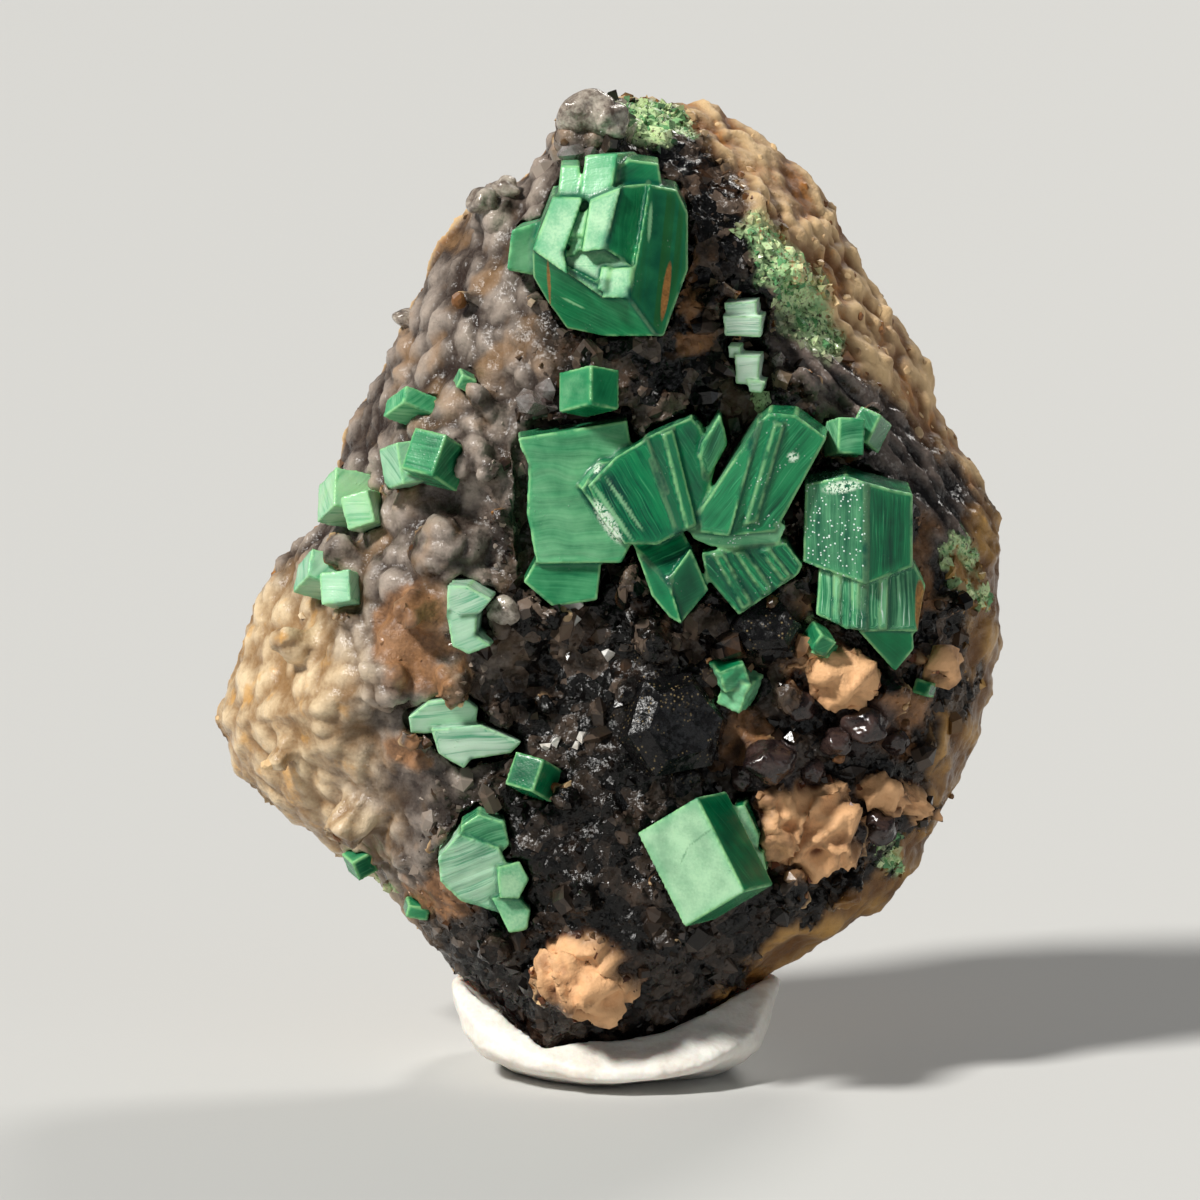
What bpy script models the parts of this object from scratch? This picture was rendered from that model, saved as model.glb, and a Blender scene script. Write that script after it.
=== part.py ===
# Torbernite crystals on a druse of smoky quartz, its tip pressed into a lump of white putty.
# Metres, +Z up, the crystal side faces -Y. Lengths in the functions are in millimetres.
import math
import random

import bmesh
import bpy
from mathutils import Euler, Matrix, Vector, noise

MM = 0.001

# driving dimensions, in millimetres
STONE_MIDDLE = (1.5, 13.5)      # the thickest place of the stone, x and z
FRONT_BULGE = 6.0               # how far the crystal side stands forward of the rim
BACK_BULGE = 4.0                # how far the broken back stands behind it
PUTTY_MIDDLE = (0.25, -1.6, 2.2)
PUTTY_RADII = (4.45, 4.3, 2.9)
PUTTY_BRIM = 0.22               # how much of its height the putty keeps above its middle
PUTTY_LIP = 0.3                 # how much of its height it keeps at the front, under the crystal side
CRYSTAL_GAP = 0.06              # clearance of a crystal in its socket
OVERLAP = 0.015                 # share by which a block reaches into its neighbours
PUTTY_GAP = 0.12                # clearance of the stone's tip in the putty
DRUSE_COUNT = 72                # quartz points on the crystal side
DRUSE_SPACING = 1.3             # least distance between two of them
BACK_LUMPS = 10                 # blunt lumps on the rind
ROUGHNESS = (0.55, 0.3)         # height of the coarse and the fine unevenness
SEED = 11

# the stone's outline seen from the front, clockwise from the top knob: x, z and the rim's depth y
RIM = [
    (-1.2, 25.2, -1.2), (-0.2, 26.0, -1.2), (1.0, 25.8, -0.8), (2.3, 26.1, 0.4), (3.2, 25.3, 0.8),
    (4.9, 24.3, 1.2), (6.1, 23.0, 1.4), (7.0, 21.0, 1.6), (8.4, 18.9, 1.4), (9.1, 17.0, 1.0),
    (10.3, 15.1, 0.6), (10.7, 13.2, 0.4), (10.6, 10.9, 0.4), (10.1, 8.4, 0.4), (9.0, 6.1, 0.2),
    (7.6, 4.0, -0.2), (5.4, 2.9, -0.9), (3.4, 1.8, -2.0), (1.4, 0.9, -3.1), (-0.9, 0.5, -3.6),
    (-2.0, 0.8, -3.4), (-3.1, 2.0, -2.6), (-4.9, 3.3, -1.4), (-5.9, 4.7, -0.6), (-7.9, 6.0, 0.3),
    (-9.6, 7.0, 0.8), (-10.8, 8.4, 1.0), (-10.1, 10.0, 1.0), (-9.7, 11.6, 1.0), (-8.6, 13.6, 0.8),
    (-7.5, 14.5, 0.6), (-6.9, 16.9, 0.4), (-5.6, 19.1, 0.2), (-4.9, 20.9, 0.0), (-4.1, 22.5, -0.3),
    (-2.0, 23.8, -0.8),
]

# rises and hollows of the crystal side: x, z, height and radius
SWELLS = [
    (3.6, 22.9, 1.0, 1.2), (4.3, 21.2, 0.9, 1.1), (6.9, 18.4, 0.8, 1.3), (8.4, 16.9, 0.8, 1.2),
    (-1.2, 22.6, 0.3, 1.6), (3.5, 6.1, 1.1, 1.5), (1.6, 5.0, 0.8, 1.8), (6.6, 14.5, 0.6, 2.0),
    (-1.6, 11.2, -0.9, 2.0), (-5.6, 17.0, 0.9, 1.7), (-4.4, 12.6, 0.7, 1.6), (-3.4, 6.2, 0.9, 2.0),
    (9.0, 13.2, -0.7, 1.1), (-0.4, 25.0, 0.7, 1.2), (-7.6, 9.8, 0.6, 1.8), (3.4, 10.6, -0.5, 1.4),
    (-2.9, 20.2, -0.6, 1.5),
]

# flat breaks on the back: direction of the break and its distance from the stone's middle
BREAKS = [
    ((0.15, 0.97, 0.2), 3.1), ((-0.62, 0.76, -0.2), 4.6), ((0.66, 0.7, -0.27), 5.4),
    ((0.1, 0.8, 0.6), 5.6), ((-0.2, 0.86, -0.48), 4.8), ((0.72, 0.52, 0.46), 7.2),
    ((-0.6, 0.6, 0.5), 6.6),
]

# rounded smoky nodules and quartz knobs: x, z, radius
NODULES = [
    (-0.4, 24.9, 1.05), (4.8, 9.1, 0.8), (6.9, 10.1, 0.85), (7.1, 7.1, 0.6), (1.8, 9.9, 1.3),
    (4.3, 12.1, 0.9), (-2.7, 12.6, 0.55), (-4.0, 14.2, 1.2), (-3.5, 16.8, 0.9), (-5.6, 10.9, 1.0),
    (-2.7, 22.9, 0.9), (5.6, 8.3, 0.5), (-1.6, 18.3, 0.5),
]

# pockets and nodules of peach clay: x, z, width, height
CLAY = [(-0.7, 3.1, 2.3, 2.0), (5.2, 7.0, 3.2, 2.4), (7.2, 8.0, 1.2, 1.0), (6.2, 11.2, 1.7, 1.4)]


# shape of the stone

def rim_toward(angle):
    """The rim's point in the direction of an angle seen from the stone's middle."""
    middle_x, middle_z = STONE_MIDDLE
    direction = Vector((math.cos(angle), math.sin(angle)))
    best = None
    for index, start in enumerate(RIM):
        end = RIM[(index + 1) % len(RIM)]
        ahead = Vector((end[0] - start[0], end[1] - start[1]))
        offset = Vector((start[0] - middle_x, start[1] - middle_z))
        cross = direction.x * ahead.y - direction.y * ahead.x
        if abs(cross) < 1e-9:
            continue
        reach = (offset.x * ahead.y - offset.y * ahead.x) / cross
        share = (offset.x * direction.y - offset.y * direction.x) / cross
        if reach > 0 and -1e-6 <= share <= 1 + 1e-6:
            depth = start[2] + (end[2] - start[2]) * share
            if best is None or reach > best[0]:
                best = (reach, depth)
    return best


def swell_height(x, z):
    total = 0.0
    for swell_x, swell_z, height, radius in SWELLS:
        distance_squared = (x - swell_x) ** 2 + (z - swell_z) ** 2
        total += height * math.exp(-distance_squared / (radius * radius))
    return total


def front_at(x, z):
    """The y of the crystal side at x, z, without the fine roughness."""
    dx = x - STONE_MIDDLE[0]
    dz = z - STONE_MIDDLE[1]
    reach, depth = rim_toward(math.atan2(dz, dx))
    share = min(math.hypot(dx, dz) / reach, 1.0)
    bulge = FRONT_BULGE * (1.0 - share ** 2.6) ** 0.6
    fade = 1.0 - share ** 6
    return depth * share ** 2 - bulge - swell_height(x, z) * fade


def back_at(x, z):
    """The y of the back at x, z: a bulge pressed flat by the breaks."""
    dx = x - STONE_MIDDLE[0]
    dz = z - STONE_MIDDLE[1]
    reach, depth = rim_toward(math.atan2(dz, dx))
    share = min(math.hypot(dx, dz) / reach, 1.0)
    rim_y = depth * share ** 2
    bulge = BACK_BULGE * (1.0 - share ** 3) ** 0.6
    y = rim_y + bulge
    for (normal_x, normal_y, normal_z), distance in BREAKS:
        limit = (distance - normal_x * dx - normal_z * dz) / normal_y
        if y > limit:
            y = limit + (y - limit) * 0.1
    return max(y, rim_y + bulge * 0.35)


def front_normal(x, z):
    step = 0.4
    slope_x = (front_at(x + step, z) - front_at(x - step, z)) / (2 * step)
    slope_z = (front_at(x, z + step) - front_at(x, z - step)) / (2 * step)
    return Vector((slope_x, -1.0, slope_z)).normalized()


def share_of_rim(x, z):
    dx = x - STONE_MIDDLE[0]
    dz = z - STONE_MIDDLE[1]
    reach, _ = rim_toward(math.atan2(dz, dx))
    return math.hypot(dx, dz) / reach


# mesh helpers

def new_bmesh_object(name, bm, collection):
    bmesh.ops.recalc_face_normals(bm, faces=bm.faces)
    mesh = bpy.data.meshes.new(name)
    bm.to_mesh(mesh)
    bm.free()
    obj = bpy.data.objects.new(name, mesh)
    collection.objects.link(obj)
    return obj


def join_bmeshes(pieces):
    joined = bmesh.new()
    for piece in pieces:
        mesh = bpy.data.meshes.new("piece")
        piece.to_mesh(mesh)
        piece.free()
        joined.from_mesh(mesh)
        bpy.data.meshes.remove(mesh)
    return joined


def evaluated_mesh(obj):
    depsgraph = bpy.context.evaluated_depsgraph_get()
    return bpy.data.meshes.new_from_object(obj.evaluated_get(depsgraph))


def apply_boolean(obj, cutter, operation):
    """Applies an exact Boolean and takes the second object away."""
    modifier = obj.modifiers.new(operation.lower(), 'BOOLEAN')
    modifier.object = cutter
    modifier.operation = operation
    modifier.solver = 'EXACT'
    modifier.use_self = True
    mesh = evaluated_mesh(obj)
    obj.modifiers.remove(modifier)
    old_mesh = obj.data
    obj.data = mesh
    bpy.data.meshes.remove(old_mesh)
    bpy.data.objects.remove(cutter)


def keep_largest_body(obj, weld=0.002):
    """Welds specks from the Boolean and drops loose crumbs."""
    bm = bmesh.new()
    bm.from_mesh(obj.data)
    bmesh.ops.remove_doubles(bm, verts=bm.verts, dist=weld * MM)
    bmesh.ops.dissolve_degenerate(bm, edges=bm.edges, dist=weld * MM)
    bm.faces.ensure_lookup_table()
    unseen = set(bm.faces)
    bodies = []
    while unseen:
        stack = [unseen.pop()]
        body = []
        while stack:
            face = stack.pop()
            body.append(face)
            for edge in face.edges:
                for other in edge.link_faces:
                    if other in unseen:
                        unseen.remove(other)
                        stack.append(other)
        bodies.append(body)
    bodies.sort(key=len)
    for body in bodies[:-1]:
        bmesh.ops.delete(bm, geom=body, context='FACES')
    bmesh.ops.triangulate(bm, faces=bm.faces)
    bm.to_mesh(obj.data)
    bm.free()


# crystal shapes

def block(outline, front, depth, slope=(0, 0), lean=(0, 0)):
    """A slab whose front shows an outline of (x, z) corners.

    front is the y of its first corner, slope is how y changes along x and z,
    and lean is how far the sides shift in x and z for each millimetre backwards.
    """
    middle_x = sum(corner[0] for corner in outline) / len(outline)
    middle_z = sum(corner[1] for corner in outline) / len(outline)
    reach = (1.0 + OVERLAP) * MM
    curve = bpy.data.curves.new("outline", 'CURVE')
    curve.dimensions = '2D'
    curve.fill_mode = 'BOTH'
    curve.extrude = depth / 2 * MM
    spline = curve.splines.new('POLY')
    spline.points.add(len(outline) - 1)
    for point, (x, z) in zip(spline.points, outline):
        point.co = ((x - middle_x) * reach, (z - middle_z) * reach, 0.0, 1.0)
    spline.use_cyclic_u = True
    holder = bpy.data.objects.new("outline", curve)
    bpy.context.scene.collection.objects.link(holder)
    mesh = evaluated_mesh(holder)
    bm = bmesh.new()
    bm.from_mesh(mesh)
    bmesh.ops.remove_doubles(bm, verts=bm.verts, dist=0.001 * MM)
    rise = slope[0] * (outline[0][0] - middle_x) + slope[1] * (outline[0][1] - middle_z)
    half = depth / 2
    place = Matrix((
        (1.0, 0.0, -lean[0], (middle_x + lean[0] * half) * MM),
        (slope[0], slope[1], -1.0, (front - rise + half) * MM),
        (0.0, 1.0, -lean[1], (middle_z + lean[1] * half) * MM),
        (0.0, 0.0, 0.0, 1.0),
    ))
    bmesh.ops.transform(bm, matrix=place, verts=bm.verts)
    bpy.data.objects.remove(holder)
    bpy.data.curves.remove(curve)
    bpy.data.meshes.remove(mesh)
    return bm


def face_y(corner, front, slope, point):
    """The y of a sloping face at a point, for a face that has y = front at its corner."""
    return front + slope[0] * (point[0] - corner[0]) + slope[1] * (point[1] - corner[1])


def rib(host_corner, host_front, slope, outline, height=0.09):
    """A low ridge on a block's front, which starts from the block's first corner."""
    return block(outline, face_y(host_corner, host_front, slope, outline[0]) - height, 0.7, slope)


def box(corner, turn, low, high):
    """A cuboid from low to high in a growth frame that is turned by degrees about a corner."""
    size = [top - bottom for bottom, top in zip(low, high)]
    middle = Vector([(bottom + top) / 2 for bottom, top in zip(low, high)])
    bm = bmesh.new()
    bmesh.ops.create_cube(bm, size=MM)
    bmesh.ops.scale(bm, vec=size, verts=bm.verts)
    rotation = Euler([math.radians(angle) for angle in turn]).to_matrix().to_4x4()
    place = Matrix.Translation(Vector(corner) * MM) @ rotation @ Matrix.Translation(middle * MM)
    bmesh.ops.transform(bm, matrix=place, verts=bm.verts)
    return bm


def sitting_box(x, z, size, turn, proud):
    """A cuboid whose middle stands proud of the stone at x, z."""
    half = [side / 2 for side in size]
    corner = (x, front_at(x, z) - proud, z)
    return box(corner, turn, [-side for side in half], half)


# torbernite crystals

def crown():
    corner = (0.59, 21.23)
    near = front_at(0.2, 22.3) - 2.9
    left_slope = (-0.25, 0.45)
    right_slope = (0.8, 0.3)
    low_slope = (-0.89, -0.89)

    def pale(outline, raised, depth=3.0, lean=(0.0, 0.0)):
        front = face_y(corner, near, left_slope, outline[0]) - raised
        return block(outline, front, depth, left_slope, lean)

    low_face = [
        corner, (1.29, 20.24), (0.0, 20.11), (-0.98, 20.24), (-1.47, 20.94), (-1.83, 21.59), (-1.85, 22.39),
    ]
    right_face = [
        corner, (1.29, 20.24), (1.49, 20.24), (2.11, 21.82), (2.11, 23.22), (1.83, 23.82), (1.11, 24.0),
        (0.9, 22.75),
    ]
    ridge_foot = (0.0, 22.45)
    ridge_right = [ridge_foot, (0.69, 21.98), (0.9, 22.75), (1.11, 24.0), (0.41, 23.98)]
    ridge_front = face_y(corner, near, left_slope, ridge_foot) - 0.38
    top_right = [(0.3, 23.8), (1.47, 23.85), (1.36, 24.5), (0.59, 24.62), (0.3, 24.4)]
    top_front = face_y(corner, near, left_slope, top_right[0]) + 0.3
    floor = [(-1.85, 22.39), (-0.08, 21.23), corner, (0.69, 21.98), ridge_foot, (0.41, 23.98), (-1.34, 23.69)]
    wedge = [(-2.42, 22.68), (-1.5, 22.96), (-1.65, 21.45), (-2.55, 21.64)]
    main_clump = [
        pale(floor, -0.15),
        block(low_face, near, 3.2, low_slope),
        block(right_face, near, 3.0, right_slope),
        block(ridge_right, ridge_front, 3.0, right_slope),
        pale([ridge_foot, (0.41, 23.98), (-0.39, 23.64), (-0.59, 22.37)], 0.38),
        pale([(-1.85, 22.39), (-0.95, 21.8), (-1.05, 22.34), (-0.57, 23.69), (-1.34, 23.69)], 0.35),
        pale([corner, (-0.08, 21.23), (0.18, 21.95), (0.69, 21.98)], 0.02, 1.0),
        pale([(-0.75, 23.3), (-0.45, 23.35), (-0.6, 22.75), (-0.88, 22.72)], 0.12, 1.0),
        pale([(-0.85, 22.65), (-0.6, 22.68), (-0.75, 22.25), (-0.95, 22.25)], 0.02, 1.0),
        pale([(-0.1, 21.98), (0.1, 21.98), (0.02, 21.4), (-0.2, 21.4)], 0.06, 1.0),
        pale([(-0.67, 23.6), (0.12, 23.65), (0.31, 24.78), (-0.51, 24.73)], 0.1, 2.4, (0.2, -0.05)),
        pale([(-1.23, 23.5), (-0.6, 23.5), (-0.67, 24.45), (-1.13, 24.45)], -0.1, 2.2),
        block(top_right, top_front, 2.2, (0.3, 0.3)),
    ]
    return [main_clump, [block(wedge, front_at(-2.1, 22.1) - 1.3, 2.2, (0.2, -0.2), (0.1, 0.0))]]


def bead():
    return [[sitting_box(-0.42, 18.66, (0.95, 1.3, 1.05), (-14, 12, 38), 0.75)]]


def mint_upper():
    front = front_at(3.5, 20.4) - 0.75
    top = [(3.06, 20.86), (3.9, 20.88), (3.93, 20.5), (3.12, 20.48)]
    low = [(3.02, 20.54), (4.05, 20.5), (4.02, 19.95), (3.1, 20.0)]
    return [[
        block(top, front + 0.1, 1.4, (0.15, -0.3), (0.1, 0.0)),
        block(low, front - 0.05, 1.5, (0.1, -0.3), (0.1, 0.0)),
    ]]


def mint_lower():
    front = front_at(3.6, 19.1) - 0.7
    small = [(3.16, 19.75), (3.5, 19.72), (3.5, 19.4), (3.2, 19.42)]
    main = [(3.34, 19.52), (4.0, 19.48), (3.96, 18.7), (3.38, 18.76)]
    chip = [(3.68, 18.86), (4.14, 18.8), (4.06, 18.5), (3.72, 18.54)]
    return [[
        block(small, front + 0.15, 1.2, (0.1, -0.3), (0.1, 0.0)),
        block(main, front, 1.3, (0.15, -0.25), (0.1, 0.0)),
        block(chip, front + 0.15, 1.2, (0.2, -0.1), (0.1, 0.0)),
    ]]


def centre_cluster():
    base = front_at(1.6, 15.6)
    plate = [
        (-2.25, 17.42), (0.54, 17.85), (0.95, 15.3), (0.4, 14.2), (-1.76, 14.2), (-2.0, 15.5), (-1.96, 16.7),
    ]
    plate_foot = [(-2.1, 13.69), (-1.76, 14.3), (-0.1, 14.25), (-0.22, 13.2), (-1.35, 13.05)]
    book_left = [
        (1.08, 17.51), (0.26, 17.05), (-0.44, 16.34), (-0.13, 15.7), (0.49, 14.85), (1.31, 14.8), (1.95, 15.1),
    ]
    book_right = [(1.0, 17.5), (2.21, 17.97), (2.44, 17.72), (2.83, 16.68), (2.37, 15.18), (1.85, 15.1)]
    book_rim = [(-0.1, 16.85), (0.4, 16.9), (1.0, 14.95), (0.3, 14.9), (-0.62, 16.2)]
    sliver = [(2.96, 18.11), (2.5, 17.33), (2.44, 17.0), (2.6, 16.3), (3.15, 17.3)]
    prism_left = [(3.98, 17.95), (3.3, 16.95), (2.37, 15.5), (2.14, 15.1), (3.2, 15.0)]
    prism_main = [
        (3.9, 17.9), (4.21, 18.15), (4.9, 18.08), (5.68, 17.48), (5.5, 17.15), (4.4, 15.1), (3.05, 15.0),
    ]
    prism_foot = [
        (2.14, 15.2), (4.66, 15.24), (4.45, 14.75), (3.95, 14.66), (3.34, 14.62), (2.72, 14.68), (2.3, 14.88),
    ]
    lower_top = [(1.65, 13.76), (0.7, 14.72), (1.98, 15.05), (2.21, 14.65)]
    lower_left = [(1.65, 13.8), (0.78, 14.6), (1.21, 13.4), (1.66, 12.88), (1.98, 12.72)]
    lower_right = [(1.6, 13.85), (2.2, 14.66), (2.65, 13.55), (1.96, 12.72)]
    ribbed = [(2.5, 14.5), (2.63, 13.85), (3.46, 12.84), (4.97, 13.9), (5.08, 14.14), (4.64, 14.75)]
    ribbed_slope = (0.1, -0.18)
    book_slope = (0.5, 0.22)
    prism_slope = (0.18, -0.06)
    rib_left = [(2.8, 14.45), (3.05, 14.5), (3.78, 13.15), (3.55, 13.0)]
    rib_middle = [(3.35, 14.52), (3.62, 14.55), (4.32, 13.52), (4.08, 13.36)]
    rib_right = [(3.98, 14.55), (4.25, 14.6), (4.8, 13.85), (4.6, 13.72)]
    book_step = [(1.5, 17.6), (1.75, 17.7), (2.35, 15.28), (2.1, 15.2)]
    prism_ridge = [(4.35, 17.9), (4.6, 17.85), (3.9, 15.35), (3.6, 15.3)]
    plate_clump = [
        block(plate, base - 0.35, 1.5, (0.06, 0.0)),
        block(plate_foot, base - 0.25, 1.3, (0.1, 0.12)),
    ]
    book_clump = [
        block(book_left, base - 1.05, 2.2, (0.26, 0.1), (0.08, 0.0)),
        block(book_right, base - 1.05, 2.2, book_slope, (0.05, 0.0)),
        block(book_rim, base - 0.75, 1.5, (0.1, 0.1), (-0.12, 0.0)),
        rib(book_right[0], base - 1.05, book_slope, book_step, 0.12),
    ]
    prism_clump = [
        block(prism_left, base - 1.0, 2.0, (-0.35, 0.14)),
        block(prism_main, base - 1.0, 2.1, prism_slope, (0.05, 0.0)),
        block(prism_foot, base - 0.85, 1.9, (0.05, -0.35)),
        rib(prism_main[0], base - 1.0, prism_slope, prism_ridge, 0.1),
    ]
    lower_clump = [
        block(lower_top, base - 1.15, 2.0, (0.0, 0.5)),
        block(lower_left, base - 1.15, 2.0, (-0.55, -0.1)),
        block(lower_right, base - 1.15, 2.0, (0.35, -0.12)),
    ]
    ribbed_clump = [block(ribbed, base - 0.7, 1.9, ribbed_slope, (0.05, 0.0))]
    for line in (rib_left, rib_middle, rib_right):
        ribbed_clump.append(rib(ribbed[0], base - 0.7, ribbed_slope, line))
    sliver_clump = [block(sliver, base - 0.55, 1.6, (0.3, -0.1))]
    return [plate_clump, book_clump, prism_clump, lower_clump, ribbed_clump, sliver_clump]


def right_pair():
    return [
        [sitting_box(6.2, 17.25, (0.72, 1.4, 0.95), (-12, 6, 14), 0.45)],
        [sitting_box(6.9, 17.4, (0.62, 1.2, 0.85), (-20, 20, -24), 0.35)],
    ]


def right_stack():
    base = front_at(6.6, 14.6)
    upper_left = [(6.75, 16.32), (6.75, 13.7), (5.13, 14.22), (5.18, 16.24), (6.2, 16.48)]
    upper_right = [(6.7, 16.34), (7.31, 16.14), (7.93, 15.98), (7.94, 14.09), (6.7, 13.7)]
    lower_left = [(6.75, 14.2), (6.75, 12.44), (6.23, 12.48), (5.48, 12.82), (5.57, 14.3)]
    lower_right = [(6.7, 14.2), (7.95, 14.2), (8.29, 13.55), (8.09, 12.35), (7.18, 12.4), (6.7, 12.42)]
    wedge = [(6.3, 12.7), (7.95, 12.6), (8.02, 11.86), (7.54, 11.25)]
    rib_left = [(5.9, 13.9), (6.08, 13.86), (6.06, 12.6), (5.88, 12.68)]
    rib_middle = [(6.36, 13.8), (6.56, 13.76), (6.54, 12.52), (6.36, 12.52)]
    rib_right = [(7.1, 13.8), (7.32, 13.86), (7.3, 12.46), (7.1, 12.46)]
    left_slope = (-0.28, -0.05)
    right_slope = (0.38, -0.05)
    upper_clump = [
        block(upper_left, base - 1.35, 2.5, left_slope),
        block(upper_right, base - 1.35, 2.5, right_slope),
    ]
    lower_clump = [
        block(lower_left, base - 1.05, 2.2, left_slope),
        block(lower_right, base - 1.05, 2.2, right_slope),
        rib(lower_left[0], base - 1.05, left_slope, rib_left),
        rib(lower_left[0], base - 1.05, left_slope, rib_middle),
        rib(lower_right[0], base - 1.05, right_slope, rib_right),
    ]
    return [upper_clump, lower_clump, [block(wedge, base - 0.75, 1.9, (0.2, -0.25))]]


def right_grain():
    return [
        [sitting_box(5.55, 12.15, (0.5, 0.9, 0.5), (20, 30, 25), 0.2)],
        [sitting_box(5.7, 11.85, (0.4, 0.8, 0.45), (-20, 10, -25), 0.15)],
    ]


def middle_pair():
    return [
        [sitting_box(2.5, 11.85, (0.72, 1.2, 0.76), (-16, 14, 22), 0.35)],
        [sitting_box(3.2, 11.3, (0.72, 1.1, 0.62), (14, -20, 12), 0.25)],
        [sitting_box(3.5, 10.8, (0.7, 1.1, 0.85), (8, 22, -18), 0.25)],
    ]


def cube():
    corner = (2.2, front_at(2.4, 6.5) - 1.15, 6.63)
    front = front_at(3.7, 7.1) - 0.55
    lath = [(3.3, 7.85), (3.62, 7.9), (4.0, 7.05), (3.95, 6.6), (3.6, 6.55)]
    lath_tail = [(3.8, 6.75), (4.1, 6.6), (4.2, 6.1), (3.9, 6.05)]
    lath_clump = [
        block(lath, front, 1.4, (0.3, -0.1), (0.1, 0.0)),
        block(lath_tail, front + 0.2, 1.2, (0.3, -0.1), (0.1, 0.0)),
    ]
    return [[box(corner, (-3, -32, -28), (-1.02, 0.0, -1.37), (1.02, 1.6, 1.37))], lath_clump]


def left_top():
    return [[sitting_box(-5.1, 17.9, (0.95, 1.2, 0.52), (-26, 22, 20), 0.3)]]


def left_pair():
    return [
        [sitting_box(-5.25, 16.5, (0.75, 1.3, 1.1), (-14, -4, 24), 0.4)],
        [sitting_box(-4.4, 16.72, (1.0, 1.4, 1.15), (-24, 8, -32), 0.55)],
    ]


def left_upper():
    return [
        [sitting_box(-6.75, 15.3, (1.35, 1.4, 1.1), (-26, 12, 18), 0.35)],
        [sitting_box(-6.3, 15.1, (0.8, 1.3, 0.9), (-12, -18, -14), 0.4)],
    ]


def left_tip():
    return [
        [sitting_box(-7.45, 13.35, (1.15, 1.2, 0.85), (-30, 18, 14), 0.3)],
        [sitting_box(-6.85, 13.1, (0.85, 1.2, 0.85), (-16, -10, -20), 0.35)],
    ]


def crescent():
    front = front_at(-3.6, 12.8) - 0.95
    upper = [(-4.06, 13.65), (-3.54, 13.62), (-2.93, 13.28), (-3.28, 12.88), (-4.1, 12.8)]
    lower = [(-4.1, 12.95), (-3.3, 13.0), (-3.35, 12.35), (-2.96, 12.06), (-3.54, 11.85), (-3.95, 12.06)]
    return [
        [block(upper, front, 1.5, (0.1, -0.1), (0.1, 0.0))],
        [block(lower, front + 0.06, 1.5, (0.16, 0.06), (0.1, 0.0))],
    ]


def left_slab():
    base = front_at(-3.8, 9.6)
    upper = [
        (-5.1, 10.05), (-4.59, 10.47), (-3.75, 10.58), (-3.33, 10.26), (-3.39, 9.84), (-4.33, 9.6), (-5.05, 9.6),
    ]
    lower = [
        (-4.51, 9.75), (-3.23, 9.87), (-2.2, 9.39), (-2.47, 9.1), (-3.49, 8.94), (-3.68, 8.68), (-4.33, 9.1),
    ]
    return [
        [block(upper, base - 0.5, 1.3, (0.1, -0.35), (0.0, -0.05))],
        [block(lower, base - 0.75, 1.5, (0.05, -0.3), (0.0, -0.08))],
    ]


def left_cube():
    return [[sitting_box(-1.85, 8.56, (0.85, 1.3, 0.9), (-22, 10, -28), 0.45)]]


def foot_group():
    base = front_at(-3.2, 6.0)
    knob = [(-3.75, 7.3), (-3.28, 7.62), (-2.62, 7.38), (-2.49, 6.77), (-2.89, 6.4), (-3.6, 6.5)]
    main = [(-4.33, 6.5), (-3.8, 7.11), (-2.76, 6.69), (-2.4, 5.84), (-2.8, 4.95), (-3.76, 5.3), (-4.28, 5.84)]
    right = [(-2.8, 6.2), (-2.23, 6.33), (-2.0, 5.85), (-2.24, 5.35), (-2.75, 5.4)]
    low = [(-2.95, 5.35), (-2.4, 5.5), (-1.95, 5.0), (-2.03, 4.52), (-2.5, 4.46)]
    return [
        [block(knob, base - 0.65, 1.6, (0.12, -0.3))],
        [block(main, base - 0.75, 1.7, (0.2, -0.2))],
        [block(right, base - 0.55, 1.5, (0.3, 0.1))],
        [block(low, base - 0.45, 1.4, (0.3, 0.2))],
    ]


def speck_left_high():
    return [[sitting_box(-3.65, 18.68, (0.45, 0.7, 0.4), (10, 25, 12), 0.15)]]


def speck_right():
    return [[sitting_box(8.4, 10.55, (0.45, 0.7, 0.4), (-10, 15, -20), 0.15)]]


def speck_left_low():
    return [[sitting_box(-5.0, 4.5, (0.6, 0.7, 0.36), (12, 12, 10), 0.12)]]


def speck_left_edge():
    return [[sitting_box(-6.55, 5.5, (0.6, 0.8, 0.6), (10, -25, 20), 0.15)]]


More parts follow.
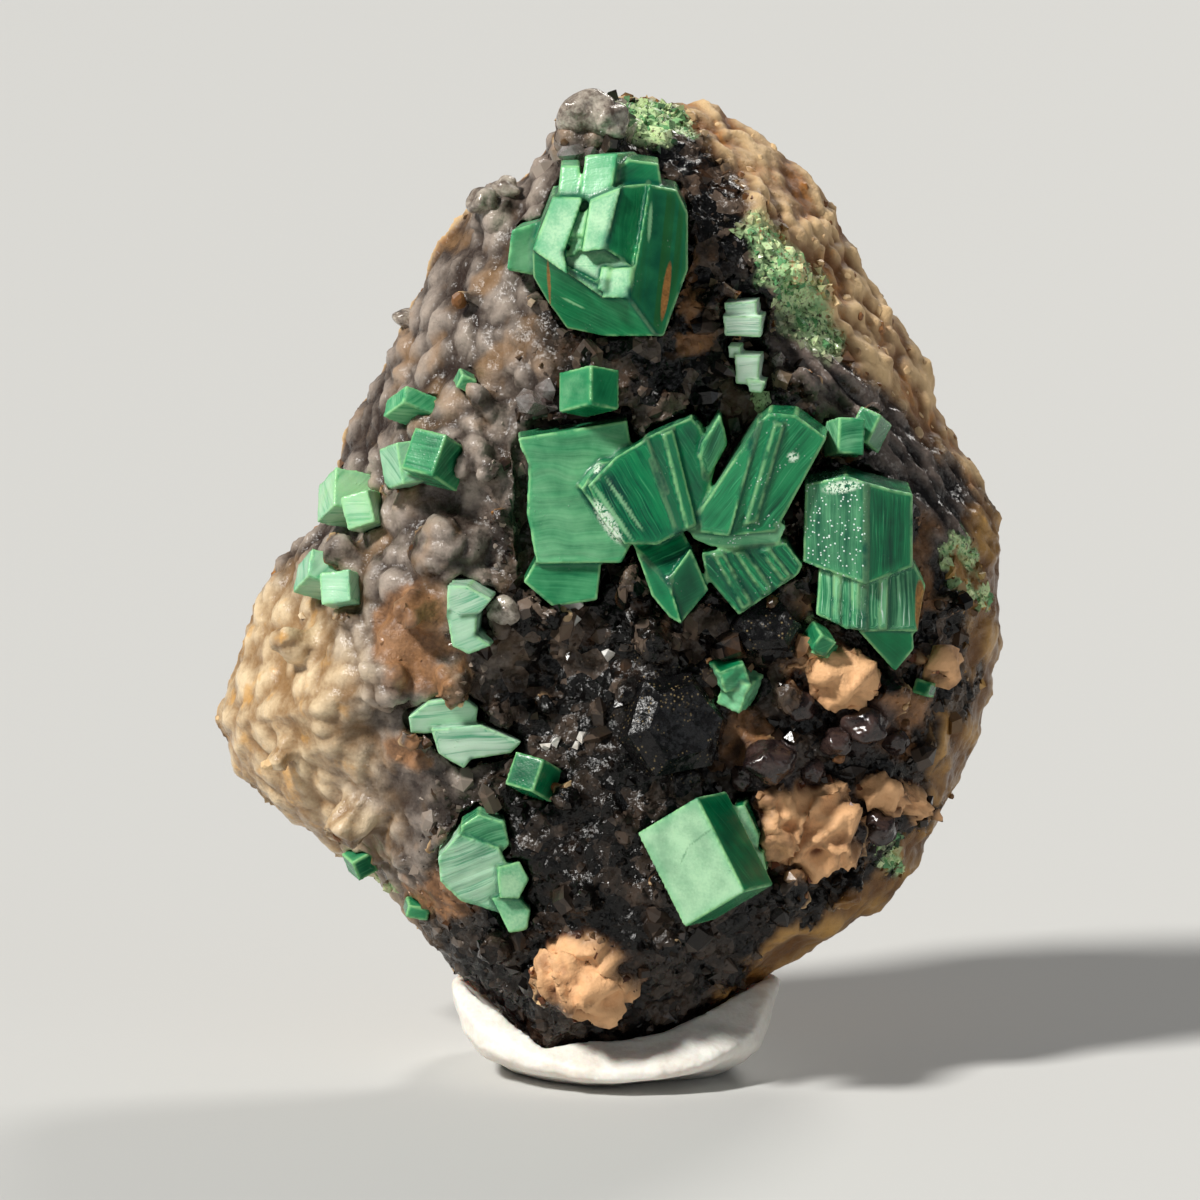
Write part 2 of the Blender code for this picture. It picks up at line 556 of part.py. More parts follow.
# each crystal's shape and colour
CRYSTALS = {
    "torbernite_crown": (crown, (0.05, 0.36, 0.2)),
    "torbernite_bead": (bead, (0.02, 0.29, 0.15)),
    "torbernite_mint_upper": (mint_upper, (0.24, 0.52, 0.3)),
    "torbernite_mint_lower": (mint_lower, (0.24, 0.52, 0.3)),
    "torbernite_centre_cluster": (centre_cluster, (0.01, 0.24, 0.12)),
    "torbernite_right_pair": (right_pair, (0.02, 0.29, 0.15)),
    "torbernite_right_stack": (right_stack, (0.01, 0.22, 0.14)),
    "torbernite_right_grain": (right_grain, (0.06, 0.3, 0.14)),
    "torbernite_middle_pair": (middle_pair, (0.08, 0.36, 0.17)),
    "torbernite_cube": (cube, (0.09, 0.4, 0.22)),
    "torbernite_left_top": (left_top, (0.16, 0.4, 0.24)),
    "torbernite_left_pair": (left_pair, (0.1, 0.38, 0.21)),
    "torbernite_left_upper": (left_upper, (0.26, 0.44, 0.16)),
    "torbernite_left_tip": (left_tip, (0.26, 0.42, 0.24)),
    "torbernite_crescent": (crescent, (0.04, 0.33, 0.17)),
    "torbernite_left_slab": (left_slab, (0.2, 0.45, 0.27)),
    "torbernite_left_cube": (left_cube, (0.01, 0.2, 0.11)),
    "torbernite_foot_group": (foot_group, (0.07, 0.33, 0.18)),
    "torbernite_speck_left_high": (speck_left_high, (0.2, 0.42, 0.26)),
    "torbernite_speck_right": (speck_right, (0.02, 0.27, 0.13)),
    "torbernite_speck_left_low": (speck_left_low, (0.1, 0.34, 0.18)),
    "torbernite_speck_left_edge": (speck_left_edge, (0.05, 0.26, 0.13)),
}


def make_crystal(name, grow, colour, collection):
    """Joins a crystal's blocks, which grew together, into one solid."""
    pieces = [piece for clump in grow() for piece in clump]
    obj = new_bmesh_object(name, pieces[0], collection)
    if len(pieces) > 1:
        others = new_bmesh_object("others", join_bmeshes(pieces[1:]), collection)
        apply_boolean(obj, others, 'UNION')
    keep_largest_body(obj)
    dress(obj, colour, 0.25)
    return obj


def socket(clump):
    """A convex hollow that holds a clump of crystal blocks with clearance."""
    bm = join_bmeshes(clump)
    bmesh.ops.delete(bm, geom=bm.edges[:] + bm.faces[:], context='EDGES_FACES')
    hull = bmesh.ops.convex_hull(bm, input=bm.verts)
    bmesh.ops.delete(bm, geom=list(set(hull["geom_interior"] + hull["geom_unused"])), context='VERTS')
    bmesh.ops.dissolve_limit(bm, angle_limit=math.radians(4), verts=bm.verts, edges=bm.edges)
    middle = sum((vert.co for vert in bm.verts), Vector()) / len(bm.verts)
    radius = min((vert.co - middle).length for vert in bm.verts)
    scale = 1.0 + 1.6 * CRYSTAL_GAP * MM / radius
    for vert in bm.verts:
        vert.co = middle + (vert.co - middle) * scale
    return bm


# matrix

def stone_body(grow=0.0):
    """A ball pulled out to the stone's outline, bulging to the front and to the back."""
    bm = bmesh.new()
    bmesh.ops.create_uvsphere(bm, u_segments=52, v_segments=18, radius=1.0)
    for vert in bm.verts:
        side, up, along = vert.co.x, vert.co.y, vert.co.z
        share = min(math.hypot(side, up), 1.0)
        angle = math.atan2(up, side)
        reach, _ = rim_toward(angle)
        x = STONE_MIDDLE[0] + math.cos(angle) * reach * share
        z = STONE_MIDDLE[1] + math.sin(angle) * reach * share
        y = front_at(x, z) if along < 0 else back_at(x, z)
        vert.co = Vector((x, y, z))
    bmesh.ops.recalc_face_normals(bm, faces=bm.faces)
    bm.normal_update()
    for vert in bm.verts:
        coarse = noise.noise(vert.co * 0.42) * ROUGHNESS[0]
        fine = noise.noise(vert.co * 1.1 + Vector((7.0, 3.0, 5.0))) * ROUGHNESS[1]
        calm = 1.0 - 0.75 * share_of_rim(vert.co.x, vert.co.z) ** 8
        vert.co += vert.normal * ((coarse + fine) * calm + grow)
    bmesh.ops.scale(bm, vec=(MM, MM, MM), verts=bm.verts)
    return bm


def in_clay(x, z):
    for middle_x, middle_z, width, height in CLAY:
        if abs(x - middle_x) < width / 2 and abs(z - middle_z) < height / 2:
            return True
    return False


def on_rind(x, z):
    """True on the tan band that shows along the upper right edge."""
    return x > 1.6 and z > 16.0 and share_of_rim(x, z) > 0.8


def druse_places(generator):
    places = []
    tries = 0
    while len(places) < DRUSE_COUNT and tries < 20000:
        tries += 1
        x = generator.uniform(-10.5, 10.5)
        z = generator.uniform(1.0, 26.0)
        if share_of_rim(x, z) > 0.87 or in_clay(x, z) or on_rind(x, z):
            continue
        if z < 3.4 and abs(x) < 5.0:
            continue
        if all(math.hypot(x - other_x, z - other_z) > DRUSE_SPACING for other_x, other_z in places):
            places.append((x, z))
    return places


def quartz_point(x, z, generator):
    """A stubby six-sided quartz point, half sunk in the stone."""
    radius = generator.uniform(0.4, 0.85)
    length = radius * generator.uniform(1.7, 2.5)
    bm = bmesh.new()
    bmesh.ops.create_cone(
        bm, cap_ends=True, segments=6, depth=length * MM,
        radius1=radius * MM, radius2=radius * generator.uniform(0.35, 0.7) * MM,
    )
    wobble = Vector([generator.uniform(-0.45, 0.45) for _ in range(3)])
    direction = (front_normal(x, z) + wobble).normalized()
    rotation = direction.to_track_quat('Z', 'Y').to_matrix().to_4x4()
    spin = Matrix.Rotation(generator.uniform(0, math.pi), 4, 'Z')
    centre = Vector((x, front_at(x, z), z)) * MM
    bmesh.ops.transform(bm, matrix=Matrix.Translation(centre) @ rotation @ spin, verts=bm.verts)
    return bm


def nodule(x, z, radius):
    bm = bmesh.new()
    bmesh.ops.create_icosphere(bm, subdivisions=2 if radius > 1.0 else 1, radius=radius)
    for vert in bm.verts:
        vert.co *= 1.0 + 0.16 * noise.noise(vert.co * 1.6 + Vector((x, 0.0, z)))
    centre = Vector((x, front_at(x, z) + radius * 0.3, z))
    bmesh.ops.translate(bm, vec=centre, verts=bm.verts)
    bmesh.ops.scale(bm, vec=(MM, MM, MM), verts=bm.verts)
    return bm


def clay_lump(x, z, width, height):
    bm = bmesh.new()
    bmesh.ops.create_icosphere(bm, subdivisions=2, radius=0.5)
    for vert in bm.verts:
        fold = noise.noise(vert.co * 3.0 + Vector((x, 0.0, z)))
        vert.co *= 1.0 + 0.35 * fold
        vert.co = Vector((vert.co.x * width, vert.co.y * 1.3, vert.co.z * height))
    bmesh.ops.translate(bm, vec=(x, front_at(x, z) + 0.2, z), verts=bm.verts)
    bmesh.ops.scale(bm, vec=(MM, MM, MM), verts=bm.verts)
    return bm


def rind_lump(generator):
    """A blunt lump on the back or on the tan rim."""
    angle = generator.uniform(0, 2 * math.pi)
    share = math.sqrt(generator.uniform(0.02, 0.8))
    reach, _ = rim_toward(angle)
    x = STONE_MIDDLE[0] + math.cos(angle) * reach * share
    z = STONE_MIDDLE[1] + math.sin(angle) * reach * share
    y = back_at(x, z)
    radius = generator.uniform(0.9, 1.8)
    bm = bmesh.new()
    bmesh.ops.create_icosphere(bm, subdivisions=1, radius=radius)
    for vert in bm.verts:
        vert.co *= generator.uniform(0.8, 1.15)
    bmesh.ops.translate(bm, vec=(x, y - radius * 0.45, z), verts=bm.verts)
    bmesh.ops.scale(bm, vec=(MM, MM, MM), verts=bm.verts)
    return bm


def make_matrix(collection):
    generator = random.Random(SEED)
    obj = new_bmesh_object("matrix", stone_body(), collection)
    growths = [quartz_point(x, z, generator) for x, z in druse_places(generator)]
    growths += [nodule(*spot) for spot in NODULES]
    growths += [clay_lump(*spot) for spot in CLAY]
    growths += [rind_lump(generator) for _ in range(BACK_LUMPS)]
    apply_boolean(obj, new_bmesh_object("growths", join_bmeshes(growths), collection), 'UNION')
    sockets = []
    for grow, _ in CRYSTALS.values():
        sockets += [socket(clump) for clump in grow()]
    apply_boolean(obj, new_bmesh_object("sockets", join_bmeshes(sockets), collection), 'DIFFERENCE')
    keep_largest_body(obj)
    dress(obj, (0.045, 0.035, 0.03), 0.35)
    return obj


# putty

def make_putty(collection):
    """A squashed lump with a flat underside, low in front, hollowed by the stone's tip."""
    bm = bmesh.new()
    bmesh.ops.create_uvsphere(bm, u_segments=26, v_segments=14, radius=1.0)
    for vert in bm.verts:
        crease = noise.noise(vert.co * 1.7 + Vector((2.0, 9.0, 4.0)))
        vert.co *= 1.0 + 0.09 * crease
        vert.co = Vector([part * radius for part, radius in zip(vert.co, PUTTY_RADII)])
        if vert.co.z > 0:
            vert.co.z *= PUTTY_BRIM
        behind_lip = min(max((vert.co.y + PUTTY_RADII[1]) / (0.8 * PUTTY_RADII[1]), 0.0), 1.0)
        vert.co += Vector(PUTTY_MIDDLE)
        vert.co.z *= PUTTY_LIP + (1.0 - PUTTY_LIP) * behind_lip
    bmesh.ops.scale(bm, vec=(MM, MM, MM), verts=bm.verts)
    cut = bmesh.ops.bisect_plane(
        bm, geom=bm.verts[:] + bm.edges[:] + bm.faces[:], plane_co=(0, 0, 0), plane_no=(0, 0, -1),
        clear_outer=True,
    )
    rim = [item for item in cut["geom_cut"] if isinstance(item, bmesh.types.BMEdge)]
    bmesh.ops.contextual_create(bm, geom=rim)
    obj = new_bmesh_object("putty_foot", bm, collection)
    tip = new_bmesh_object("tip", stone_body(PUTTY_GAP), collection)
    apply_boolean(obj, tip, 'DIFFERENCE')
    keep_largest_body(obj)
    dress(obj, (0.82, 0.8, 0.75), 0.6)
    return obj


# materials

def dress(obj, colour, roughness):
    """Gives a piece a material of its own, named like the piece."""
    material = bpy.data.materials.new(obj.name)
    material.use_nodes = True
    shader = material.node_tree.nodes["Principled BSDF"]
    shader.inputs["Base Color"].default_value = (*colour, 1.0)
    shader.inputs["Roughness"].default_value = roughness
    shader.inputs["Metallic"].default_value = 0.0
    obj.data.materials.clear()
    obj.data.materials.append(material)


# assembly

def clear_scene():
    for obj in list(bpy.data.objects):
        bpy.data.objects.remove(obj)


def new_collection(name):
    collection = bpy.data.collections.new(name)
    bpy.context.scene.collection.children.link(collection)
    return collection


def stand_on_origin(objects):
    """Moves all pieces so that the middle of their underside is the origin."""
    corners = [vert.co for obj in objects for vert in obj.data.vertices]
    low = Vector([min(corner[axis] for corner in corners) for axis in range(3)])
    high = Vector([max(corner[axis] for corner in corners) for axis in range(3)])
    shift = Vector((-(low.x + high.x) / 2, -(low.y + high.y) / 2, -low.z))
    for obj in objects:
        obj.data.transform(Matrix.Translation(shift))


def main():
    clear_scene()
    collection = new_collection("torbernite")
    pieces = [make_matrix(collection), make_putty(collection)]
    for name, (grow, colour) in CRYSTALS.items():
        pieces.append(make_crystal(name, grow, colour, collection))
    stand_on_origin(pieces)


main()
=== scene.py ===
import math

import bmesh
import bpy
import numpy as np
from mathutils import Euler, Matrix, Vector, noise
from mathutils.bvhtree import BVHTree
from mathutils.kdtree import KDTree


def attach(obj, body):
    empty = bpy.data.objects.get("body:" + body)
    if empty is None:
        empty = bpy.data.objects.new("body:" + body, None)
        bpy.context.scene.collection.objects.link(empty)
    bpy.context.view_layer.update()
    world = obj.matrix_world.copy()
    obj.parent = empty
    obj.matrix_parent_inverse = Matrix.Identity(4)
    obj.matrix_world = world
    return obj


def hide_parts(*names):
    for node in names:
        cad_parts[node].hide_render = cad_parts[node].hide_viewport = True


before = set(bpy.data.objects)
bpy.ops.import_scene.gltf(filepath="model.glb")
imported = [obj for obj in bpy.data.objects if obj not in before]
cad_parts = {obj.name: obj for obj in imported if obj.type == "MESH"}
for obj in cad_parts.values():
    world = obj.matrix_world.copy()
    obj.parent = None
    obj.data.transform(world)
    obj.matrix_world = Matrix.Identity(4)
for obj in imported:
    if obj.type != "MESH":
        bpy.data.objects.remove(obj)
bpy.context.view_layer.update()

noise.seed_set(7)    # without it noise_vector differs from run to run
mm = 0.001  # all shapes below are worked out in millimetres

# the view of the photograph; places given in its pixels are in a picture of imageSide
view = {
    "elevation": 8.0,
    "lens": 200.0,
    "sensor": 36.0,
    "distance": 178.7,
    "target": (-0.222, 2.296, 12.35),
    "imageSide": 1200,
}


def cameraAxes():
    # where the camera is, the way it looks and its up
    lift = math.radians(view["elevation"])
    ahead = np.array((0.0, math.cos(lift), -math.sin(lift)))
    up = np.array((0.0, math.sin(lift), math.cos(lift)))
    place = np.array(view["target"]) - ahead * view["distance"]
    return place, ahead, up


def photoPlace(points):
    # where points (n, 3) in millimetres show in the photograph, in its pixels
    place, ahead, up = cameraAxes()
    offset = np.asarray(points, float).reshape(-1, 3) - place
    zoom = view["lens"] / view["sensor"] * view["imageSide"] / (offset @ ahead)
    half = view["imageSide"] / 2
    return half + offset[:, 0] * zoom, half - (offset @ up) * zoom


def photoRay(px, py):
    # from the camera through a pixel of the photograph
    place, ahead, up = cameraAxes()
    half = view["imageSide"] / 2
    pixel = view["sensor"] / view["lens"] / view["imageSide"]
    ray = ahead + np.array((1.0, 0.0, 0.0)) * (px - half) * pixel + up * (half - py) * pixel
    return Vector(place), Vector(ray).normalized()


def smooth(low, high, value):
    # 0 at low, 1 at high, soft between
    share = np.clip((value - low) / (high - low), 0.0, 1.0)
    return share * share * (3.0 - 2.0 * share)


def tint(red, green, blue):
    # a screen colour 0-255 as the linear colour that the shaders take
    channels = []
    for part in (red, green, blue):
        part = part / 255
        channels.append(part / 12.92 if part <= 0.04045 else ((part + 0.055) / 1.055) ** 2.4)
    return (*channels, 1.0)


def cloudValues(points, scale, seed=0.0):
    # soft random values, about -0.5 to 0.5
    shift = Vector((seed * 3.7, seed * 1.9 + 5.0, seed * 2.3))
    return np.array([noise.noise(Vector(point) * scale + shift) for point in points])


def readPoints(mesh):
    points = np.empty(len(mesh.vertices) * 3, np.float32)
    mesh.vertices.foreach_get("co", points)
    return points.reshape(-1, 3).astype(float)


def readNormals(mesh):
    normals = np.empty(len(mesh.vertices) * 3, np.float32)
    mesh.vertex_normals.foreach_get("vector", normals)
    return normals.reshape(-1, 3).astype(float)


def writePoints(mesh, points):
    mesh.vertices.foreach_set("co", points.astype(np.float32).ravel())
    mesh.update()


def writeValues(mesh, name, values):
    layer = mesh.attributes.new(name, 'FLOAT', 'POINT')
    layer.data.foreach_set("value", np.asarray(values, np.float32))


def fineMesh(nodeName, voxel):
    # an even mesh of a CAD node in millimetres, and the node's own faces in millimetres
    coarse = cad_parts[nodeName].data.copy()
    coarse.transform(Matrix.Scale(1 / mm, 4))
    welded = bmesh.new()
    welded.from_mesh(coarse)
    bmesh.ops.remove_doubles(welded, verts=welded.verts, dist=0.001)
    welded.to_mesh(coarse)
    welded.free()
    holder = bpy.data.objects.new("holder", coarse)
    bpy.context.scene.collection.objects.link(holder)
    remesh = holder.modifiers.new("remesh", 'REMESH')
    remesh.mode = 'VOXEL'
    remesh.voxel_size = voxel
    depsgraph = bpy.context.evaluated_depsgraph_get()
    fine = bpy.data.meshes.new_from_object(holder.evaluated_get(depsgraph))
    bpy.data.objects.remove(holder)
    fine.materials.clear()
    return fine, coarse


def addPiece(name, mesh, material, nodes=()):
    # a mesh in millimetres becomes a piece of the object, in metres
    mesh.transform(Matrix.Scale(mm, 4))
    mesh.materials.clear()
    mesh.materials.append(material)
    piece = bpy.data.objects.new(name, mesh)
    bpy.context.scene.collection.objects.link(piece)
    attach(piece, "root")
    if nodes:
        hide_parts(*nodes)
    return piece


# materials are written as sums of sockets
class Wire:
    def __init__(self, paint, socket):
        self.paint = paint
        self.socket = socket

    def __add__(self, other):
        return self.paint.maths('ADD', self, other)

    def __radd__(self, other):
        return self.paint.maths('ADD', other, self)

    def __sub__(self, other):
        return self.paint.maths('SUBTRACT', self, other)

    def __rsub__(self, other):
        return self.paint.maths('SUBTRACT', other, self)

    def __mul__(self, other):
        return self.paint.maths('MULTIPLY', self, other)

    def __rmul__(self, other):
        return self.paint.maths('MULTIPLY', other, self)

    def within(self, low, high):
        # 0 at low, 1 at high, soft between
        settings = {"interpolation_type": 'SMOOTHSTEP'}
        sockets = {"Value": self, "From Min": low, "From Max": high}
        return self.paint.node("ShaderNodeMapRange", settings, sockets)

    def mix(self, first, second):
        # this wire is the share of the second colour
        settings = {"data_type": 'RGBA', "clamp_factor": True}
        return self.paint.node("ShaderNodeMix", settings, {0: self, 6: first, 7: second}, 2)


class Paint:
    def __init__(self, name):
        self.material = bpy.data.materials.new(name)
        self.material.use_nodes = True
        self.tree = self.material.node_tree
        self.shader = self.tree.nodes["Principled BSDF"]

    def put(self, socket, value):
        if isinstance(value, Wire):
            self.tree.links.new(value.socket, socket)
        else:
            socket.default_value = value

    def node(self, kind, settings, sockets, output=0):
        made = self.tree.nodes.new(kind)
        for name, value in settings.items():
            setattr(made, name, value)
        for name, value in sockets.items():
            self.put(made.inputs[name], value)
        return Wire(self, made.outputs[output])

    def maths(self, operation, first, second):
        return self.node("ShaderNodeMath", {"operation": operation}, {0: first, 1: second})

    def value(self, name):
        # a number that the mesh carries
        return self.node("ShaderNodeAttribute", {"attribute_name": name}, {}, 2)

    def place(self):
        return self.node("ShaderNodeTexCoord", {}, {}, 3)

    def cloud(self, perMm, detail=3.0, rough=0.55, at=None):
        scale = perMm if at else perMm / mm
        sockets = {"Vector": at or self.place(), "Scale": scale, "Detail": detail, "Roughness": rough}
        return self.node("ShaderNodeTexNoise", {}, sockets)

    def cells(self, perMm, output=0):
        sockets = {"Vector": self.place(), "Scale": perMm / mm}
        return self.node("ShaderNodeTexVoronoi", {}, sockets, output)

    def shards(self, perMm):
        # small broken faces that tilt every way, as a height in parts of a cell
        sockets = {"Vector": self.place(), "Scale": perMm / mm}
        middle = self.node("ShaderNodeTexVoronoi", {}, sockets, 2)
        turn = Wire(self, middle.socket.node.outputs[1])
        less = {"operation": 'SUBTRACT'}
        reach = self.node("ShaderNodeVectorMath", less, {0: self.place(), 1: middle})
        tilt = self.node("ShaderNodeVectorMath", less, {0: turn, 1: (0.5, 0.5, 0.5)})
        rise = self.node("ShaderNodeVectorMath", {"operation": 'DOT_PRODUCT'}, {0: reach, 1: tilt}, 1)
        return rise * (perMm / mm)

    def vector(self, x, y, z):
        return self.node("ShaderNodeCombineXYZ", {}, {0: x, 1: y, 2: z})

    def finish(self, colour, roughness, bumps=(), **fixed):
        # bumps are (height in millimetres, wire), the last one on top
        self.put(self.shader.inputs["Base Color"], colour)
        self.put(self.shader.inputs["Roughness"], roughness)
        normal = None
        for height, wire in bumps:
            sockets = {"Strength": 1.0, "Distance": height * mm, "Height": wire}
            if normal:
                sockets["Normal"] = normal
            normal = self.node("ShaderNodeBump", {}, sockets)
        if normal:
            self.put(self.shader.inputs["Normal"], normal)
        for name, value in fixed.items():
            self.shader.inputs[name.replace("_", " ")].default_value = value
        return self.material


# torbernite: what every crystal starts from
crystalFinish = {
    "voxel": 0.05,
    "pearlSheen": 0.5,         # how pale the faces across the growth direction are painted: partly their own pearly lustre, partly painted sheen
    "steps": 0.007,       # height of the growth steps on the sides, in millimetres
    "stepsPerMm": 6.0,
    "wobble": 0.006,
    "cornerShadeWidth": 0.14,        # width of the painted shade line in a hollow corner
    "edgeWidth": 0.1,     # width of the painted highlight line on an edge
    "samePlane": 0.9995,  # cosine of the angle between faces: above it they are one facet
    "sharpEdge": 0.93,    # below it the edge between them gets its line
}

# what every block starts from: direction of growth, then shares from 0 to 1
blockFinish = {
    "axis": (-0.2, -0.5, 0.8), "mint": 0.2, "deep": 0.2, "streak": 0.5, "dust": 0.15, "haze": 0.0,
}

